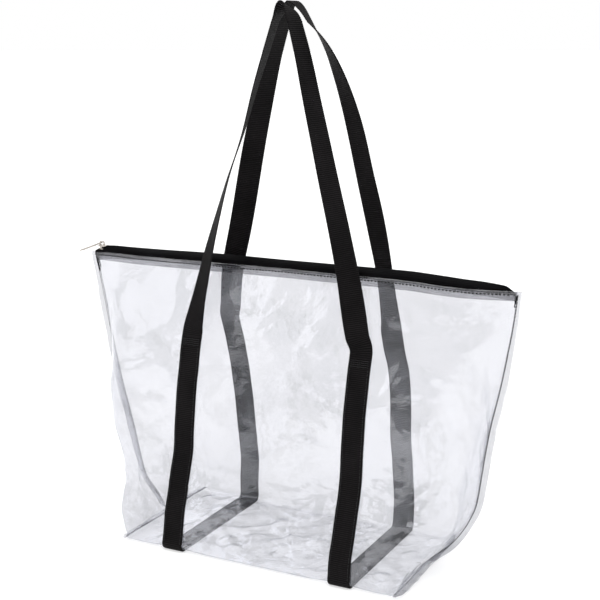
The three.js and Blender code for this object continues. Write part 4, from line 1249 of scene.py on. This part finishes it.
# ------------------------------------------------------------------ floor, light and camera
def floor():
    n, rings = 96, [0.0, 0.4, 0.8, 1.5, 3.0, 6.0, 12.0, 40.0]
    verts = [(0, 0, 0)]
    faces = []
    for r in rings[1:]:
        for k in range(n):
            a = 2 * math.pi * k / n
            verts.append((r * math.cos(a), r * math.sin(a), 0))
    for k in range(n):
        faces.append((0, 1 + k, 1 + (k + 1) % n))
    for i in range(len(rings) - 2):
        b, c = 1 + i * n, 1 + (i + 1) * n
        for k in range(n):
            faces.append((b + k, c + k, c + (k + 1) % n, b + (k + 1) % n))
    me = bpy.data.meshes.new("floor")
    me.from_pydata(verts, [], faces)
    ob = bpy.data.objects.new("floor", me)
    bpy.context.scene.collection.objects.link(ob)
    m, nt, out = nodes_of("pale_floor")
    t = Tree(nt)
    co = t.node("ShaderNodeTexCoord").outputs["Object"]
    p = t.node("ShaderNodeBsdfPrincipled")
    t.link(t.ramp(t.noise(co, 3.0, 2.0), [(0.3, (0.60, 0.60, 0.60)), (0.7, (0.615, 0.615, 0.615))]), p.inputs["Base Color"])
    p.inputs["Roughness"].default_value = 0.85
    p.inputs["Specular IOR Level"].default_value = 0.1
    p.inputs["Emission Color"].default_value = (1, 1, 1, 1)
    p.inputs["Emission Strength"].default_value = 0.50
    t.link(p.outputs[0], out.inputs["Surface"])
    me.materials.append(m)
    ob.location.z = -0.0002
    return ob


floor()

world = bpy.data.worlds.new("studio")
bpy.context.scene.world = world
world.use_nodes = True
wt = world.node_tree
wt.nodes.clear()
T = Tree(wt)
wc = T.node("ShaderNodeTexCoord").outputs["Generated"]
sep = T.node("ShaderNodeSeparateXYZ")
T.link(wc, sep.inputs[0])
level = T.ramp(sep.outputs[2], [(0.0, 1.0), (0.055, 1.0), (0.10, 0.42), (0.42, 0.38), (0.72, 0.95), (1.0, 1.1)])
bg = T.node("ShaderNodeBackground")
T.link(level, bg.inputs["Color"])
bg.inputs["Strength"].default_value = 1.0
wo = T.node("ShaderNodeOutputWorld")
T.link(bg.outputs[0], wo.inputs["Surface"])


def aim(ob, target):
    d = Vector(target) - ob.location
    ob.rotation_euler = d.to_track_quat("-Z", "Y").to_euler()


def softbox(name, at, target, size, strength):
    la = bpy.data.lights.new(name, "AREA")
    la.shape = "RECTANGLE"
    la.size, la.size_y = size
    la.energy = strength * size[0] * size[1] * math.pi
    ob = bpy.data.objects.new(name, la)
    bpy.context.scene.collection.objects.link(ob)
    ob.location = at
    aim(ob, target)
    ob.visible_camera = False
    return ob


softbox("box_front_left", (-2.1, -1.9, 1.35), (0, 0, 0.25), (1.5, 1.3), 0.85)
softbox("box_front_right", (1.9, -2.3, 1.55), (0, 0, 0.25), (1.1, 1.2), 1.5)
softbox("box_back_left", (-1.9, 2.1, 1.45), (0, 0, 0.25), (1.3, 1.2), 1.8)
softbox("box_back_right", (2.2, 1.8, 1.45), (0, 0, 0.25), (1.3, 1.2), 1.8)

sun = bpy.data.lights.new("top_light", "SUN")
sun.energy = 1.55
sun.angle = math.radians(70)
so = bpy.data.objects.new("top_light", sun)
bpy.context.scene.collection.objects.link(so)
so.rotation_euler = (math.radians(6), math.radians(-3), 0)

cam = bpy.data.cameras.new("camera")
cam.lens = 73.30
cam.sensor_width = 36
cam.clip_start, cam.clip_end = 0.05, 100
co = bpy.data.objects.new("camera", cam)
bpy.context.scene.collection.objects.link(co)
co.location = (0.5870, -1.1278, 0.5500)
aim(co, (0.01325, 0.0, 0.27466))
bpy.context.scene.camera = co

sc = bpy.context.scene
sc.view_settings.view_transform = "Standard"
sc.view_settings.look = "None"
sc.cycles.transparent_max_bounces = 48
sc.cycles.max_bounces = 10
sc.cycles.glossy_bounces = 5
sc.cycles.diffuse_bounces = 3
